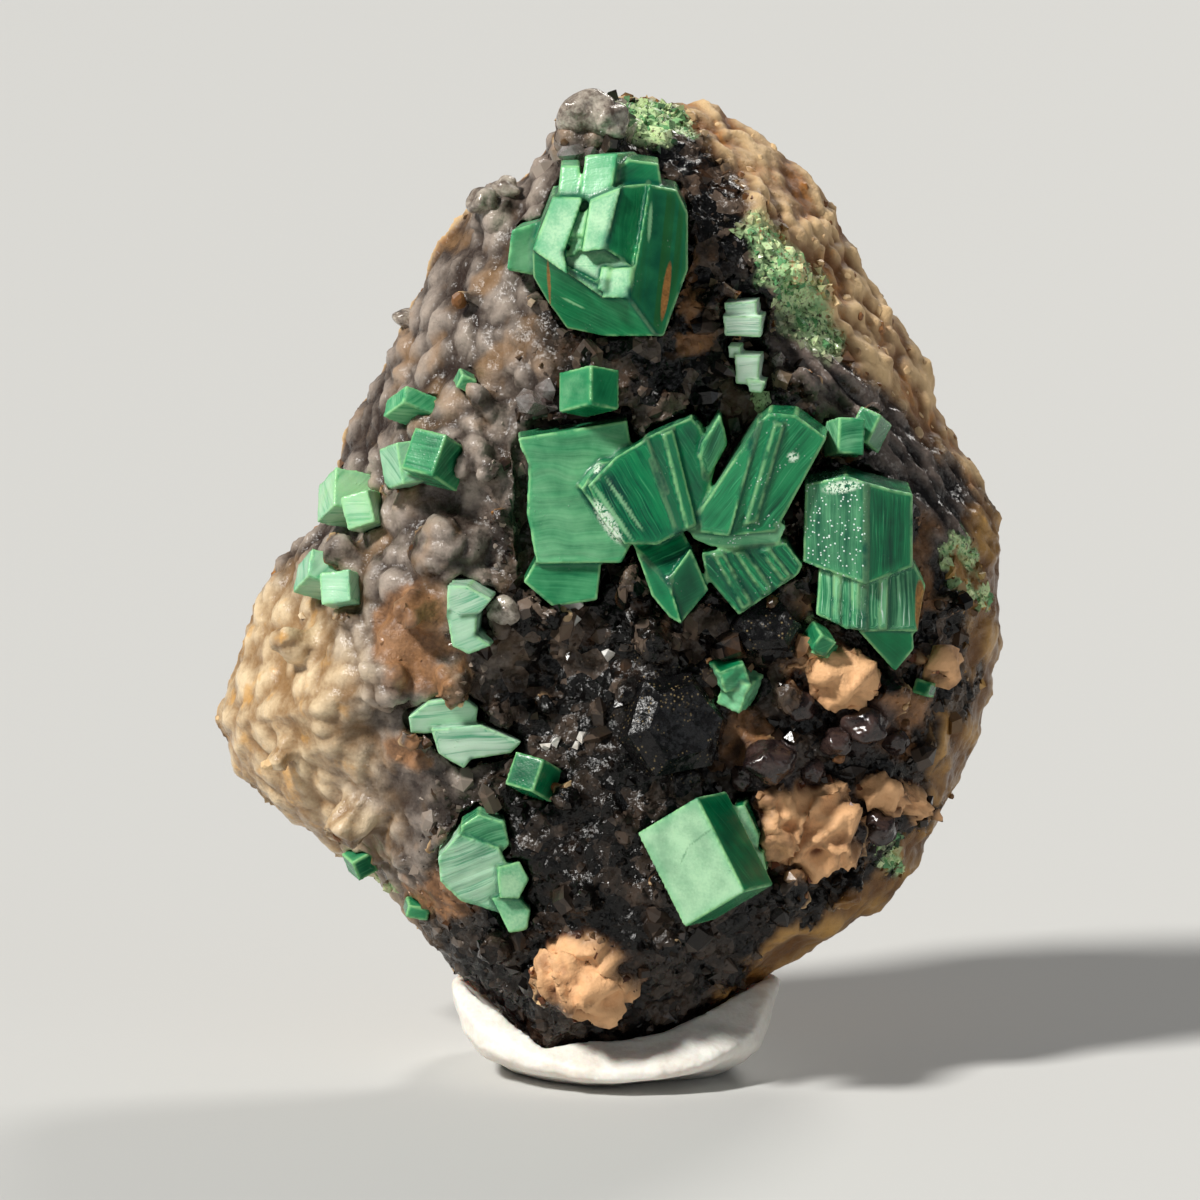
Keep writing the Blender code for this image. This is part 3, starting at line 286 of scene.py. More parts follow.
# each block: x and z of its middle in the frame, then what differs from blockFinish
crystals = {
    "torbernite_crown": {
        "voxel": 0.055, "pearlSheen": 1.0, "steps": 0.004, "cornerShadeWidth": 0.2,
        "blocks": [
            ((-0.4, 22.6), {"axis": (-0.25, -1.0, 0.45), "streak": 0.35, "dust": 0.1}),
            ((-0.3, 21.0), {"axis": (-0.25, -1.0, 0.45), "streak": 0.25, "deep": 0.1}),
            ((1.3, 22.0), {"axis": (0.1, 0.4, 1.0), "streak": 0.0, "deep": 0.55, "side": 1.0}),
            ((-2.1, 22.2), {"streak": 0.1, "deep": 0.0, "mint": 0.7}),
            ((0.9, 24.2), {"streak": 0.2, "deep": 0.3}),
            ((-0.1, 24.7), {"streak": 0.3, "mint": 1.0}),
        ],
    },
    "torbernite_bead": {
        "pearlSheen": 0.6,
        "blocks": [((-0.5, 18.7), {"axis": (-0.6, -0.5, 0.6), "streak": 0.15, "deep": 0.15})],
    },
    "torbernite_mint_upper": {
        "voxel": 0.04, "pearlSheen": 0.7, "steps": 0.012, "cornerShadeWidth": 0.06,
        "blocks": [
            ((3.4, 20.4), {
                "axis": (0.0, -0.4, 1.0), "mint": 1.0, "deep": 0.0, "streak": 1.0, "pale": 1.0,
            }),
        ],
    },
    "torbernite_mint_lower": {
        "voxel": 0.04, "pearlSheen": 0.7, "steps": 0.012, "cornerShadeWidth": 0.06,
        "blocks": [
            ((3.5, 19.1), {
                "axis": (0.0, -0.4, 1.0), "mint": 1.0, "deep": 0.0, "streak": 1.0, "pale": 1.0,
            }),
        ],
    },
    "torbernite_centre_cluster": {
        "voxel": 0.058, "pearlSheen": 0.3,
        "blocks": [
            ((-1.2, 15.8), {
                "axis": (0.05, -0.2, 1.0), "mint": 0.5, "deep": 0.0, "streak": 0.25, "layers": 1.0,
            }),
            ((0.2, 17.4), {"axis": (0.2, -0.9, 0.5), "mint": 0.35, "deep": 0.0, "streak": 0.1}),
            ((-1.2, 13.7), {"axis": (0.1, -0.4, 1.0), "mint": 0.35, "deep": 0.1, "streak": 0.25}),
            ((0.3, 15.7), {"axis": (0.87, -0.2, 0.49), "mint": 0.12, "deep": 0.6, "streak": 0.8}),
            ((1.1, 16.6), {"axis": (0.87, -0.2, 0.49), "mint": 0.0, "deep": 0.5, "streak": 0.3}),
            ((1.3, 15.5), {
                "axis": (0.87, -0.2, 0.49), "mint": 0.0, "deep": 0.7, "streak": 0.5, "haze": 0.3,
            }),
            ((2.2, 16.7), {"axis": (0.87, -0.2, 0.49), "mint": 0.0, "deep": 0.4, "streak": 0.3}),
            ((2.7, 17.4), {
                "axis": (0.9, -0.2, -0.43), "mint": 0.4, "deep": 0.3, "streak": 1.0, "haze": 0.5,
            }),
            ((4.0, 17.3), {
                "axis": (0.79, -0.2, -0.62), "mint": 0.15, "deep": 0.3, "streak": 0.7, "haze": 0.4,
                "dust": 0.3,
            }),
            ((3.5, 16.0), {
                "axis": (0.79, -0.2, -0.62), "mint": 0.1, "deep": 0.3, "streak": 0.9, "haze": 0.7,
                "dust": 0.2,
            }),
            ((3.3, 14.85), {
                "axis": (0.1, -0.9, 0.6), "mint": 0.75, "deep": 0.0, "streak": 0.3, "dust": 0.4,
            }),
            ((1.5, 14.5), {"axis": (-0.39, -0.2, 0.92), "mint": 0.1, "deep": 0.3, "streak": 0.8}),
            ((1.6, 13.3), {"axis": (-0.39, -0.2, 0.92), "mint": 0.05, "deep": 0.3, "streak": 0.1}),
            ((3.8, 13.8), {
                "axis": (0.78, -0.2, 0.62), "mint": 0.1, "deep": 0.5, "streak": 1.0, "dust": 0.3,
            }),
        ],
    },
    "torbernite_right_pair": {
        "pearlSheen": 0.5,
        "blocks": [
            ((6.2, 17.2), {"axis": (0.0, -0.5, 0.9), "mint": 0.6, "deep": 0.1, "streak": 0.5}),
            ((6.9, 17.3), {
                "axis": (0.5, -0.6, 0.6), "mint": 0.4, "deep": 0.1, "haze": 0.6, "dust": 0.4,
            }),
        ],
    },
    "torbernite_right_stack": {
        "voxel": 0.058, "pearlSheen": 0.15,
        "blocks": [
            ((5.95, 15.2), {
                "axis": (1.0, -0.2, 0.03), "mint": 0.4, "deep": 0.5, "streak": 0.5, "dust": 1.0,
            }),
            ((7.3, 15.2), {
                "axis": (1.0, 0.3, 0.03), "mint": 0.15, "deep": 0.35, "streak": 0.6, "dust": 0.15,
            }),
            ((6.1, 13.2), {
                "axis": (1.0, -0.2, 0.0), "mint": 0.7, "deep": 0.35, "streak": 1.0, "shine": 1.0,
            }),
            ((7.5, 13.2), {
                "axis": (1.0, -0.2, 0.0), "mint": 0.5, "deep": 0.35, "streak": 1.0, "shine": 0.7,
            }),
            ((7.3, 11.9), {"axis": (0.7, -0.3, 0.6), "mint": 0.0, "deep": 0.15, "streak": 0.15}),
        ],
    },
    "torbernite_right_grain": {
        "pearlSheen": 0.4, "wobble": 0.03,
        "blocks": [((5.5, 12.0), {"mint": 0.35, "deep": 0.2, "haze": 0.3})],
    },
    "torbernite_middle_pair": {
        "pearlSheen": 0.4,
        "blocks": [
            ((2.4, 11.9), {"axis": (-0.4, -0.7, 0.6), "mint": 0.1, "deep": 0.0, "streak": 0.2}),
            ((3.3, 10.9), {
                "axis": (0.3, -0.7, 0.6), "mint": 0.8, "deep": 0.0, "streak": 0.2, "rough": 1.0,
            }),
        ],
    },
    "torbernite_cube": {
        "pearlSheen": 1.0, "steps": 0.003, "wobble": 0.003,
        "blocks": [
            ((2.2, 7.2), {
                "axis": (-0.44, -0.79, 0.42), "mint": 0.1, "deep": 0.75, "streak": 0.2, "matte": 1.0,
            }),
            ((3.8, 7.2), {"axis": (0.4, -0.9, 0.2), "mint": 0.1, "deep": 0.3, "streak": 0.2}),
        ],
    },
    "torbernite_left_top": {
        "pearlSheen": 0.9,
        "blocks": [((-5.2, 17.9), {"axis": (0.0, -0.5, 0.8), "mint": 0.9, "deep": 0.0, "lime": 0.4})],
    },
    "torbernite_left_pair": {
        "pearlSheen": 0.9,
        "blocks": [
            ((-5.3, 16.5), {"mint": 0.9, "deep": 0.0, "pale": 0.25}),
            ((-4.5, 16.7), {"mint": 0.3, "deep": 0.3}),
        ],
    },
    "torbernite_left_upper": {
        "pearlSheen": 0.9, "wobble": 0.03,
        "blocks": [((-6.6, 15.2), {"mint": 1.0, "deep": 0.0, "lime": 0.6, "pale": 0.35})],
    },
    "torbernite_left_tip": {
        "pearlSheen": 0.9, "wobble": 0.03,
        "blocks": [((-7.2, 13.3), {"mint": 1.2, "deep": 0.0, "pale": 0.35})],
    },
    "torbernite_crescent": {
        "pearlSheen": 0.6, "wobble": 0.015,
        "blocks": [
            ((-3.7, 13.2), {"axis": (-0.2, -0.6, 0.7), "mint": 1.3, "deep": 0.0, "pale": 0.6}),
            ((-3.3, 12.4), {"axis": (-0.2, -0.6, 0.7), "mint": 1.2, "deep": 0.0, "pale": 0.45}),
        ],
    },
    "torbernite_left_slab": {
        "pearlSheen": 1.0, "steps": 0.012,
        "blocks": [
            ((-4.2, 10.2), {
                "axis": (0.0, -0.5, 0.9), "mint": 1.3, "deep": 0.0, "lime": 0.3, "pale": 0.5,
            }),
            ((-3.3, 9.3), {
                "axis": (0.0, -0.9, 0.4), "mint": 1.3, "deep": 0.0, "lime": 0.3, "pale": 0.7,
            }),
        ],
    },
    "torbernite_left_cube": {
        "pearlSheen": 0.3,
        "blocks": [((-1.9, 8.6), {"axis": (-0.4, -0.5, 0.7), "mint": 0.0, "deep": 0.25, "streak": 0.15})],
    },
    "torbernite_foot_group": {
        "pearlSheen": 0.9, "wobble": 0.02, "steps": 0.012,
        "blocks": [
            ((-3.3, 6.3), {
                "axis": (-0.2, -0.6, 0.7), "mint": 1.0, "deep": 0.1, "streak": 0.8, "pale": 0.4,
            }),
            ((-3.1, 7.1), {"axis": (-0.2, -0.6, 0.7), "mint": 0.7, "deep": 0.2}),
            ((-2.4, 5.8), {"axis": (0.3, -0.8, 0.3), "mint": 0.4, "deep": 0.2}),
            ((-2.4, 4.9), {"axis": (0.3, -0.8, 0.3), "mint": 0.5, "deep": 0.1}),
        ],
    },
    "torbernite_speck_left_high": {"blocks": [((-3.7, 18.7), {"mint": 0.6, "haze": 0.5})]},
    "torbernite_speck_right": {"pearlSheen": 0.3, "blocks": [((8.3, 10.5), {"mint": 0.1, "deep": 0.3})]},
    "torbernite_speck_left_low": {"pearlSheen": 0.3, "blocks": [((-5.1, 4.5), {"mint": 0.3})]},
    "torbernite_speck_left_edge": {"pearlSheen": 0.3, "blocks": [((-6.6, 5.5), {"deep": 0.4})]},
}

# marks on the crystals in the photograph's pixels: middle, half width, half length, lean in degrees
crystalMarks = {
    "rust": [(666, 291, 4.2, 33, 8), (549, 283, 1.8, 26, -3), (920, 607, 6, 30, 0)],
    "scratch": [
        (573, 303, 1.3, 13, -64), (650, 222, 2.0, 20, 4), (612, 512, 2.6, 38, -35),
        (603, 518, 2.0, 28, -35), (624, 504, 1.8, 34, -35),
    ],
    "crack": [(702, 836, 0.9, 17, 54), (684, 856, 0.9, 9, 24)],
    "whitishPatches": [(842, 487, 20, 6, -8), (793, 457, 6, 5, 0), (597, 468, 4, 6, 30), (608, 522, 7, 26, -32)],
}


def readFacets(coarse):
    # neighbouring faces that lie in one plane are one facet; a sharp edge between two is a ridge
    # where they bulge and a groove where they are hollow
    edgeFaces = {}
    for face in coarse.polygons:
        for key in face.edge_keys:
            edgeFaces.setdefault(key, []).append(face.index)
    normals = [face.normal.copy() for face in coarse.polygons]
    neighbours = [[] for _ in coarse.polygons]
    ridges = []
    grooves = []
    for key, faces in edgeFaces.items():
        if len(faces) != 2:
            continue
        one, two = faces
        turn = normals[one].dot(normals[two])
        if turn > crystalFinish["samePlane"]:
            neighbours[one].append(two)
            neighbours[two].append(one)
        elif turn < crystalFinish["sharpEdge"]:
            bulge = coarse.polygons[two].center - coarse.polygons[one].center
            lines = ridges if normals[one].dot(bulge) < 0 else grooves
            lines.append((coarse.vertices[key[0]].co, coarse.vertices[key[1]].co))
    facetOf = [-1] * len(normals)
    facets = []
    for start in range(len(normals)):
        if facetOf[start] >= 0:
            continue
        stack = [start]
        facetOf[start] = len(facets)
        members = []
        while stack:
            face = stack.pop()
            members.append(face)
            for other in neighbours[face]:
                if facetOf[other] < 0:
                    facetOf[other] = len(facets)
                    stack.append(other)
        flats = [coarse.polygons[face] for face in members]
        area = sum(flat.area for flat in flats)
        middle = sum((flat.center * flat.area for flat in flats), Vector())
        facets.append({"normal": normals[start], "middle": middle / max(area, 1e-9)})
    return facetOf, facets, ridges, grooves


def lineTree(lines, step=0.04):
    # points along the lines, to find how far away the nearest line is
    spots = []
    for start, end in lines:
        count = max(2, int((end - start).length / step))
        spots += [start.lerp(end, index / (count - 1)) for index in range(count)]
    tree = KDTree(max(1, len(spots)))
    for index, spot in enumerate(spots or [Vector((0.0, 0.0, 999.0))]):
        tree.insert(spot, index)
    tree.balance()
    return tree


def stainShare(px, py, stains):
    # 1 inside any of the ellipses and 0 outside, soft between
    share = np.zeros(len(px))
    for middleX, middleY, halfWidth, halfLength, lean in stains:
        turn = math.radians(lean)
        dx, dy = px - middleX, py - middleY
        across = (dx * math.cos(turn) + dy * math.sin(turn)) / halfWidth
        along = (dy * math.cos(turn) - dx * math.sin(turn)) / halfLength
        share = np.maximum(share, 1.0 - smooth(0.7, 1.15, np.hypot(across, along)))
    return share


def blurValues(mesh, values, rounds):
    # softens the border between facets
    pairs = np.empty(len(mesh.edges) * 2, np.int32)
    mesh.edges.foreach_get("vertices", pairs)
    one, two = pairs.reshape(-1, 2).T
    count = np.bincount(pairs, minlength=len(values))
    for _ in range(rounds):
        around = np.bincount(one, values[two], len(values)) + np.bincount(two, values[one], len(values))
        values = (values + around / count) / 2
    return values


blockShares = (
    "mint", "deep", "streak", "dust", "haze", "side", "pale", "layers", "shine", "rough", "matte", "lime",
)
facetValues = ("pearlSheen", "tone", *blockShares)
crystalValues = ("layer", "along", "ridge", "groove", *facetValues)


def growCrystal(nodeName, settings, random):
    # a fine mesh of the crystal with growth steps, carrying what its material needs
    fine, coarse = fineMesh(nodeName, settings["voxel"])
    facetOf, facets, ridges, grooves = readFacets(coarse)
    for facet in facets:
        x, z = facet["middle"].xz
        nearest = min(settings["blocks"], key=lambda one: math.hypot(x - one[0][0], z - one[0][1]))
        block = {**blockFinish, **nearest[1]}
        facet["axis"] = Vector(block["axis"]).normalized()
        for name in blockShares:
            facet[name] = block.get(name, 0.0)
        facet["tone"] = random.random()
        # faces across the growth direction are painted pale: partly the pearly lustre of these faces,
        # partly painted sheen, since the growth axes mostly point towards the key light
        facing = abs(facet["axis"].dot(facet["normal"]))
        facet["pearlSheen"] = float(smooth(0.8, 0.97, facing)) * settings["pearlSheen"] * (1.0 - facet["side"])
    surface = BVHTree.FromPolygons(
        [vert.co for vert in coarse.vertices], [face.vertices[:] for face in coarse.polygons]
    )
    ridgeTree = lineTree(ridges)
    grooveTree = lineTree(grooves)
    points = readPoints(fine)
    normals = readNormals(fine)
    values = {name: np.zeros(len(points)) for name in crystalValues}
    push = np.zeros(len(points))
    for index, point in enumerate(points):
        spot = Vector(point)
        facet = facets[facetOf[surface.find_nearest(spot)[2]]]
        wave = noise.noise(spot * 1.3) * (0.06 + 0.12 * facet["layers"])
        layer = spot.dot(facet["axis"]) + wave
        values["layer"][index] = layer
        values["along"][index] = spot.dot(facet["axis"].cross(facet["normal"]))
        for name in facetValues:
            values[name][index] = facet[name]
        values["ridge"][index] = min(ridgeTree.find(spot)[2], 1.0)
        values["groove"][index] = min(grooveTree.find(spot)[2] / settings["cornerShadeWidth"], 1.0)
        step = noise.noise(Vector((layer * settings["stepsPerMm"], 1.7, 0.3)))
        step = math.copysign(min(abs(step) * 3.0, 1.0), step) * (1.0 - facet["pearlSheen"])
        step *= facet["streak"] + facet["layers"] * 1.5
        wobble = noise.noise(spot * 2.2) * settings["wobble"]
        crumble = noise.noise(spot * 5.0) * 0.06 * facet["rough"]
        push[index] = step * settings["steps"] + wobble + crumble
    writePoints(fine, points + normals * push[:, None])
    for name, value in values.items():
        writeValues(fine, name, blurValues(fine, value, 0 if name in ("ridge", "groove") else 3))
    px, py = photoPlace(points)
    shown = normals[:, 1] < 0.2
    for name, marks in crystalMarks.items():
        writeValues(fine, name, stainShare(px, py, marks) * shown)
    fine.shade_smooth()
    bpy.data.meshes.remove(coarse)
    return fine


# the colours of the crystals, dim and bright, on the 0-255 scale of a screen
crystalTints = {
    "green": ((0, 70, 44), (4, 134, 80)),
    "teal": (0, 56, 50),
    "mint": ((66, 164, 112), (146, 206, 160)),
    "veil": (58, 108, 80),
    "rib": (104, 186, 140),
    "band": (40, 92, 36),
    "pearlSheen": ((92, 170, 124), (176, 218, 176)),
    "matte": ((134, 178, 142), (164, 204, 166)),
    "pale": ((92, 176, 140), (226, 247, 228)),
    "lime": (152, 206, 112),
    "glow": (60, 176, 112),
    "edge": (158, 214, 148),
    "hollow": (0, 56, 52),
    "scratch": (150, 208, 156),
    "crack": (84, 132, 98),
    "dust": (226, 244, 236),
    "whitishPatches": (216, 236, 214),
    "rust": ((112, 70, 30), (186, 128, 66)),
}


def readTints(tints):
    # each name gives one colour, or a pair of a dim and a bright one
    single = {name: tint(*given) for name, given in tints.items() if isinstance(given[0], int)}
    pairs = {name: [tint(*one) for one in given] for name, given in tints.items() if name not in single}
    return single, pairs


def paintCrystal(name, settings):
    paint = Paint(name)
    get = {name: paint.value(name) for name in crystalValues}
    hue, pair = readTints(crystalTints)
    layer, along, tone, streak = get["layer"], get["along"], get["tone"], get["streak"]
    # growth layers, broad and fine, and patches that don't follow them
    broad = paint.cloud(1.0, 3.0, 0.55, paint.vector(layer * 5.0, along * 0.35, tone * 9.0))
    fine = paint.cloud(1.0, 2.0, 0.5, paint.vector(layer * 24.0, along * 0.7, tone * 5.0))
    patches = paint.cloud(1.3, 4.0)
    grainy = paint.cloud(15.0, 3.0)
    lines = (broad - 0.5) * 1.5 + (fine - 0.5) * 0.9
    shade = 0.5 + lines * streak + (patches - 0.5) * 0.6 + (tone - 0.5) * 0.3
    # body colour
    body = shade.within(0.2, 0.85).mix(*pair["green"])
    # teal on blocks with a deep share, mostly those turned away from the key light: partly the crystal's
    # own darker green, partly painted shade
    teal = (get["deep"] * (1.3 - shade)).within(0.1, 0.7)
    body = teal.mix(body, hue["teal"])
    mintShare = (get["mint"] * (0.4 + shade * 1.1)).within(0.1, 1.0)
    body = mintShare.mix(body, shade.within(0.2, 0.8).mix(*pair["mint"]))
    veil = (get["haze"] * (0.3 + broad * 0.8 + patches * 0.5)).within(0.15, 1.0)
    body = (veil * 0.65).mix(body, hue["veil"])
    ribs = fine.within(0.59, 0.7) * streak * (1.0 - get["layers"])
    body = (ribs * 0.35).mix(body, hue["rib"])
    stripes = paint.cloud(1.0, 2.0, 0.5, paint.vector(get["along"] * 3.5, 0.3, 0.7))
    body = (get["side"] * stripes.within(0.45, 0.62) * 0.6).mix(body, hue["band"])
    # pale faces across the growth direction, partly their pearly lustre and partly painted sheen; and
    # whitish faces
    speckle = (grainy * 0.2 + patches * 0.45 + broad * 0.35).within(0.36, 0.64)
    pearlSheenColour = get["matte"].mix(speckle.mix(*pair["pearlSheen"]), speckle.mix(*pair["matte"]))
    pearlSheenShare = get["pearlSheen"] * (0.6 + patches * 0.65)
    body = pearlSheenShare.within(0.15, 0.85).mix(body, pearlSheenColour)
    # whitish faces: partly the crystal's own pale colour, partly painted reflection on the two mint
    # plates
    body = get["pale"].mix(body, (lines * 1.3 + 0.75).within(0.15, 0.75).mix(*pair["pale"]))
    lime = (get["lime"] * (0.3 + patches)).within(0.3, 0.9)
    body = (lime * 0.8).mix(body, hue["lime"])
    # painted highlight: lighter towards an edge, with a pale line on it; painted shade: dark in a hollow
    # corner
    glow = 1.0 - (get["ridge"] + (patches - 0.5) * 0.3).within(0.0, 0.32)
    body = (glow * 0.22).mix(body, hue["glow"])
    line = 1.0 - (get["ridge"] + (patches - 0.5) * 0.16).within(0.02, settings["edgeWidth"])
    body = (line * patches.within(0.34, 0.56) * 0.75).mix(body, hue["edge"])
    # painted shade: dark along hollow corners between faces
    hollow = 1.0 - (get["groove"] + (patches - 0.5) * 0.3).within(0.0, 1.0)
    body = (hollow * 0.75).mix(body, hue["hollow"])
    # marks, dust with painted highlights on the ribs, and rust
    body = (paint.value("scratch") * 0.75).mix(body, hue["scratch"])
    body = (paint.value("crack") * 0.7).mix(body, hue["crack"])
    # painted highlight: pale streaks along the ribs of the shining blocks, in the dust colour
    gleam = get["shine"] * fine.within(0.6, 0.7) * broad.within(0.4, 0.6)
    dusty = (paint.cloud(1.6, 3.0) + get["dust"] * 0.35).within(0.6, 0.76)
    dust = paint.cells(9.0).within(0.3, 0.12) * dusty
    dustAndGleamShare = (dust * get["dust"].within(0.0, 0.5) + gleam * 0.9).within(0.0, 1.0)
    body = dustAndGleamShare.mix(body, hue["dust"])
    # whitish grainy patches at the listed places
    body = (paint.value("whitishPatches") * grainy.within(0.42, 0.5)).mix(body, hue["whitishPatches"])
    rust = (paint.value("rust") * (0.3 + patches * 1.1)).within(0.25, 0.8)
    body = (rust * 0.9).mix(body, (grainy * 0.6 + broad * 0.5).within(0.3, 0.8).mix(*pair["rust"]))
    roughness = 0.16 + grainy * 0.1 + get["pearlSheen"] * 0.26 + get["matte"] * 0.15
    roughness = roughness + rust * 0.3 + get["rough"] * 0.15
    bumps = [(0.014, fine * streak), (0.004, grainy), (0.02, dust * 0.5)]
    return paint.finish(
        body, roughness, bumps, IOR=1.59, Specular_IOR_Level=0.2, Subsurface_Weight=0.12,
        Subsurface_Scale=0.4 * mm, Subsurface_Radius=(0.3, 1.0, 0.6),
    )


# the stone: places in the photograph, in its pixels
stonePlaces = {
    # height in the picture, and where the tan rind starts there
    "rindEdge": [
        (60, 655), (95, 668), (130, 700), (165, 728), (200, 745), (250, 768), (300, 812), (345, 838),
        (380, 872), (410, 905), (450, 942), (500, 988), (520, 1010),
    ],
    "amberEdge": [
        (470, 990), (510, 975), (560, 970), (620, 974), (680, 966), (740, 948), (800, 925), (850, 905),
        (890, 860), (930, 790), (965, 750), (1040, 700),
    ],
    # the rest are middle, half width, half height and lean in degrees
    "clay": [
        (580, 972, 50, 40, 10), (812, 828, 54, 46, -20), (893, 795, 24, 20, 0), (836, 676, 38, 30, 10),
        (924, 652, 22, 12, 10),
    ],
    "brown": [
        (902, 722, 34, 36, 0), (745, 738, 18, 34, 0), (440, 902, 48, 22, 15), (412, 750, 20, 20, 0),
        (925, 560, 16, 60, 5), (800, 608, 14, 14, 0), (415, 640, 40, 60, 10), (690, 300, 8, 60, 10),
    ],
    "green": [
        (652, 118, 40, 26, 20), (792, 285, 26, 80, -28), (966, 548, 9, 30, -18), (970, 592, 8, 16, 0),
        (893, 852, 13, 20, 20), (360, 867, 14, 9, 0), (822, 640, 12, 18, 0), (762, 412, 7, 16, -20),
    ],
    "smoky": [(772, 762, 34, 32, 0), (868, 728, 34, 34, 0), (880, 828, 18, 24, 0), (540, 398, 18, 20, 0)],
    "pepper": [(674, 722, 66, 70, 0), (765, 622, 42, 42, 0)],
    "knob": [(596, 120, 40, 38, 0)],
}

stoneFinish = {
    "voxel": 0.112,
    "bandWidth": 78,      # the striated band inside the rind, in pixels
    "rindLump": 0.3,
    "rindLumpsPerMm": 1.5,
    "softLump": 0.42,
    "softLumpsPerMm": 1.05,
    "clayFold": 0.36,
    "shard": 0.24,
    "shardsPerMm": 1.4,
    "granule": 0.3,
    "granulesPerMm": 1.6,
    "sink": 0.1,          # how far the dark skin lies under the grains' tips
}

zoneNames = ("rind", "amber", "grey", "tip", "low", "clay", "brown", "green", "smoky", "pepper", "band")


def stoneZones(points, normals):
    # how much of each kind of surface there is at each point
    px, py = photoPlace(points)
    wander = cloudValues(points, 0.9, 1.0) * 30 + cloudValues(points, 2.6, 2.0) * 14
    px, py = px + wander, py + wander * 0.6
    rows, columns = np.array(stonePlaces["rindEdge"], float).T
    inward = px - np.interp(py, rows, columns)
    upper = 1.0 - smooth(500, 560, py)
    rind = smooth(-12, 12, inward) * upper
    band = smooth(-stoneFinish["bandWidth"] - 15, -stoneFinish["bandWidth"] + 15, inward) * (1.0 - rind)
    band *= smooth(300, 350, py) * (1.0 - smooth(540, 600, py)) * smooth(760, 790, px)
    rows, columns = np.array(stonePlaces["amberEdge"], float).T
    amber = smooth(-10, 14, px - np.interp(py, rows, columns)) * smooth(490, 530, py)
    back = smooth(0.0, 0.4, normals[:, 1])
    front = 1.0 - back
    left = (1.0 - smooth(430, 550, px + (py - 600) * 0.2)) * front
    tip = (1.0 - smooth(290, 400, px - (py - 690) * 0.1)) * smooth(540, 620, py) * front
    top = (1.0 - smooth(490, 590, px)) * (1.0 - smooth(330, 440, py)) * front
    knob = stainShare(px, py, stonePlaces["knob"]) * front
    zones = {
        "rind": np.maximum(rind, back * (1.0 - amber)),
        "amber": amber,
        "grey": np.maximum.reduce([left, top * 0.8, knob]) * (1.0 - rind),
        "tip": tip,
        "band": band * front,
        "low": smooth(600, 780, py) * front,
    }
    for name in ("clay", "brown", "green", "smoky", "pepper"):
        zones[name] = stainShare(px, py, stonePlaces[name]) * front
    return zones


def shardHeight(spot, perMm):
    # flat broken faces that tilt every way
    place = spot * perMm
    nearest = noise.voronoi(place)[1][0]
    tilt = noise.cell_vector(nearest * 17.3) - Vector((0.5, 0.5, 0.5))
    return (place - nearest).dot(tilt)


def lumpHeight(spot, perMm):
    # rounded lumps of uneven size, about -0.5 to 0.5
    warp = noise.noise_vector(spot * perMm * 0.7) * 0.5
    nearest, second = noise.voronoi(spot * perMm + warp)[0][:2]
    return 0.35 - nearest * 0.7 + min(second - nearest, 0.5) * 0.4


def bandHeight(spot):
    # thin lines that run down along the rim
    across = spot.x * 0.7 + spot.z * 0.72
    down = spot.x * 0.7 - spot.z * 0.7
    return noise.noise(Vector((across * 4.5, down * 0.8, spot.y * 1.5)))


def shapeStone(fine):
    points = readPoints(fine)
    normals = readNormals(fine)
    zones = stoneZones(points, normals)
    soft = np.maximum.reduce([zones["rind"], zones["clay"], zones["amber"], zones["band"] * 0.7])
    calm = np.maximum.reduce([zones["smoky"] * 0.8, zones["pepper"] * 0.5])
    push = np.zeros(len(points))
    for index, point in enumerate(points):
        spot = Vector(point)
        zone = {name: zones[name][index] for name in zoneNames}
        height = noise.noise(spot * 3.1) * 0.03
        if zone["rind"] > 0.01:
            uneven = 0.6 + noise.noise(spot * 0.6) * 0.8
            lump = lumpHeight(spot, stoneFinish["rindLumpsPerMm"]) * uneven + lumpHeight(spot, 3.2) * 0.2
            lump += noise.noise(spot * 0.9) * 0.7 + noise.noise(spot * 2.1) * 0.4
            height += zone["rind"] * lump * stoneFinish["rindLump"]
        if zone["clay"] > 0.01:
            warp = noise.noise(spot * 1.1) * 1.2
            fold = 1.0 - 2.2 * abs(noise.noise(spot * 1.3 + Vector((warp, 0.0, warp))))
            fold += 0.45 - 1.0 * abs(noise.noise(spot * 2.7 + Vector((warp, 4.0, 0.0))))
            height += zone["clay"] * (fold * stoneFinish["clayFold"] + 0.05)
        if zone["band"] > 0.01:
            height += zone["band"] * bandHeight(spot) * 0.22
        if zone["amber"] > 0.01:
            swell = noise.noise(spot * 1.1) * 0.22 + noise.noise(spot * 3.5) * 0.07
            height += zone["amber"] * (swell - 0.05)
        hard = (1.0 - soft[index]) * (1.0 - calm[index])
        if hard > 0.01:
            rounded = max(zone["grey"], zone["tip"])
            shard = shardHeight(spot, stoneFinish["shardsPerMm"]) + 0.4 * shardHeight(spot, 3.1)
            uneven = 0.6 + noise.noise(spot * 0.8) * 0.9
            granule = lumpHeight(spot, stoneFinish["granulesPerMm"]) * uneven
            granule = (granule + lumpHeight(spot, 3.6) * 0.35) * stoneFinish["granule"]
            lump = lumpHeight(spot, stoneFinish["softLumpsPerMm"]) + lumpHeight(spot, 2.3) * 0.3
            lump *= 1.0 - 0.35 * zone["tip"]
            sharp = shard * stoneFinish["shard"] + granule - stoneFinish["sink"]
            height += hard * (1.0 - rounded) * sharp
            height += hard * rounded * (lump * stoneFinish["softLump"] - stoneFinish["sink"] * 0.6)
        push[index] = height
    writePoints(fine, points + normals * push[:, None])
    for name, value in zones.items():
        writeValues(fine, name, value)
    writeValues(fine, "lift", push)
    fine.shade_smooth()
    return zones


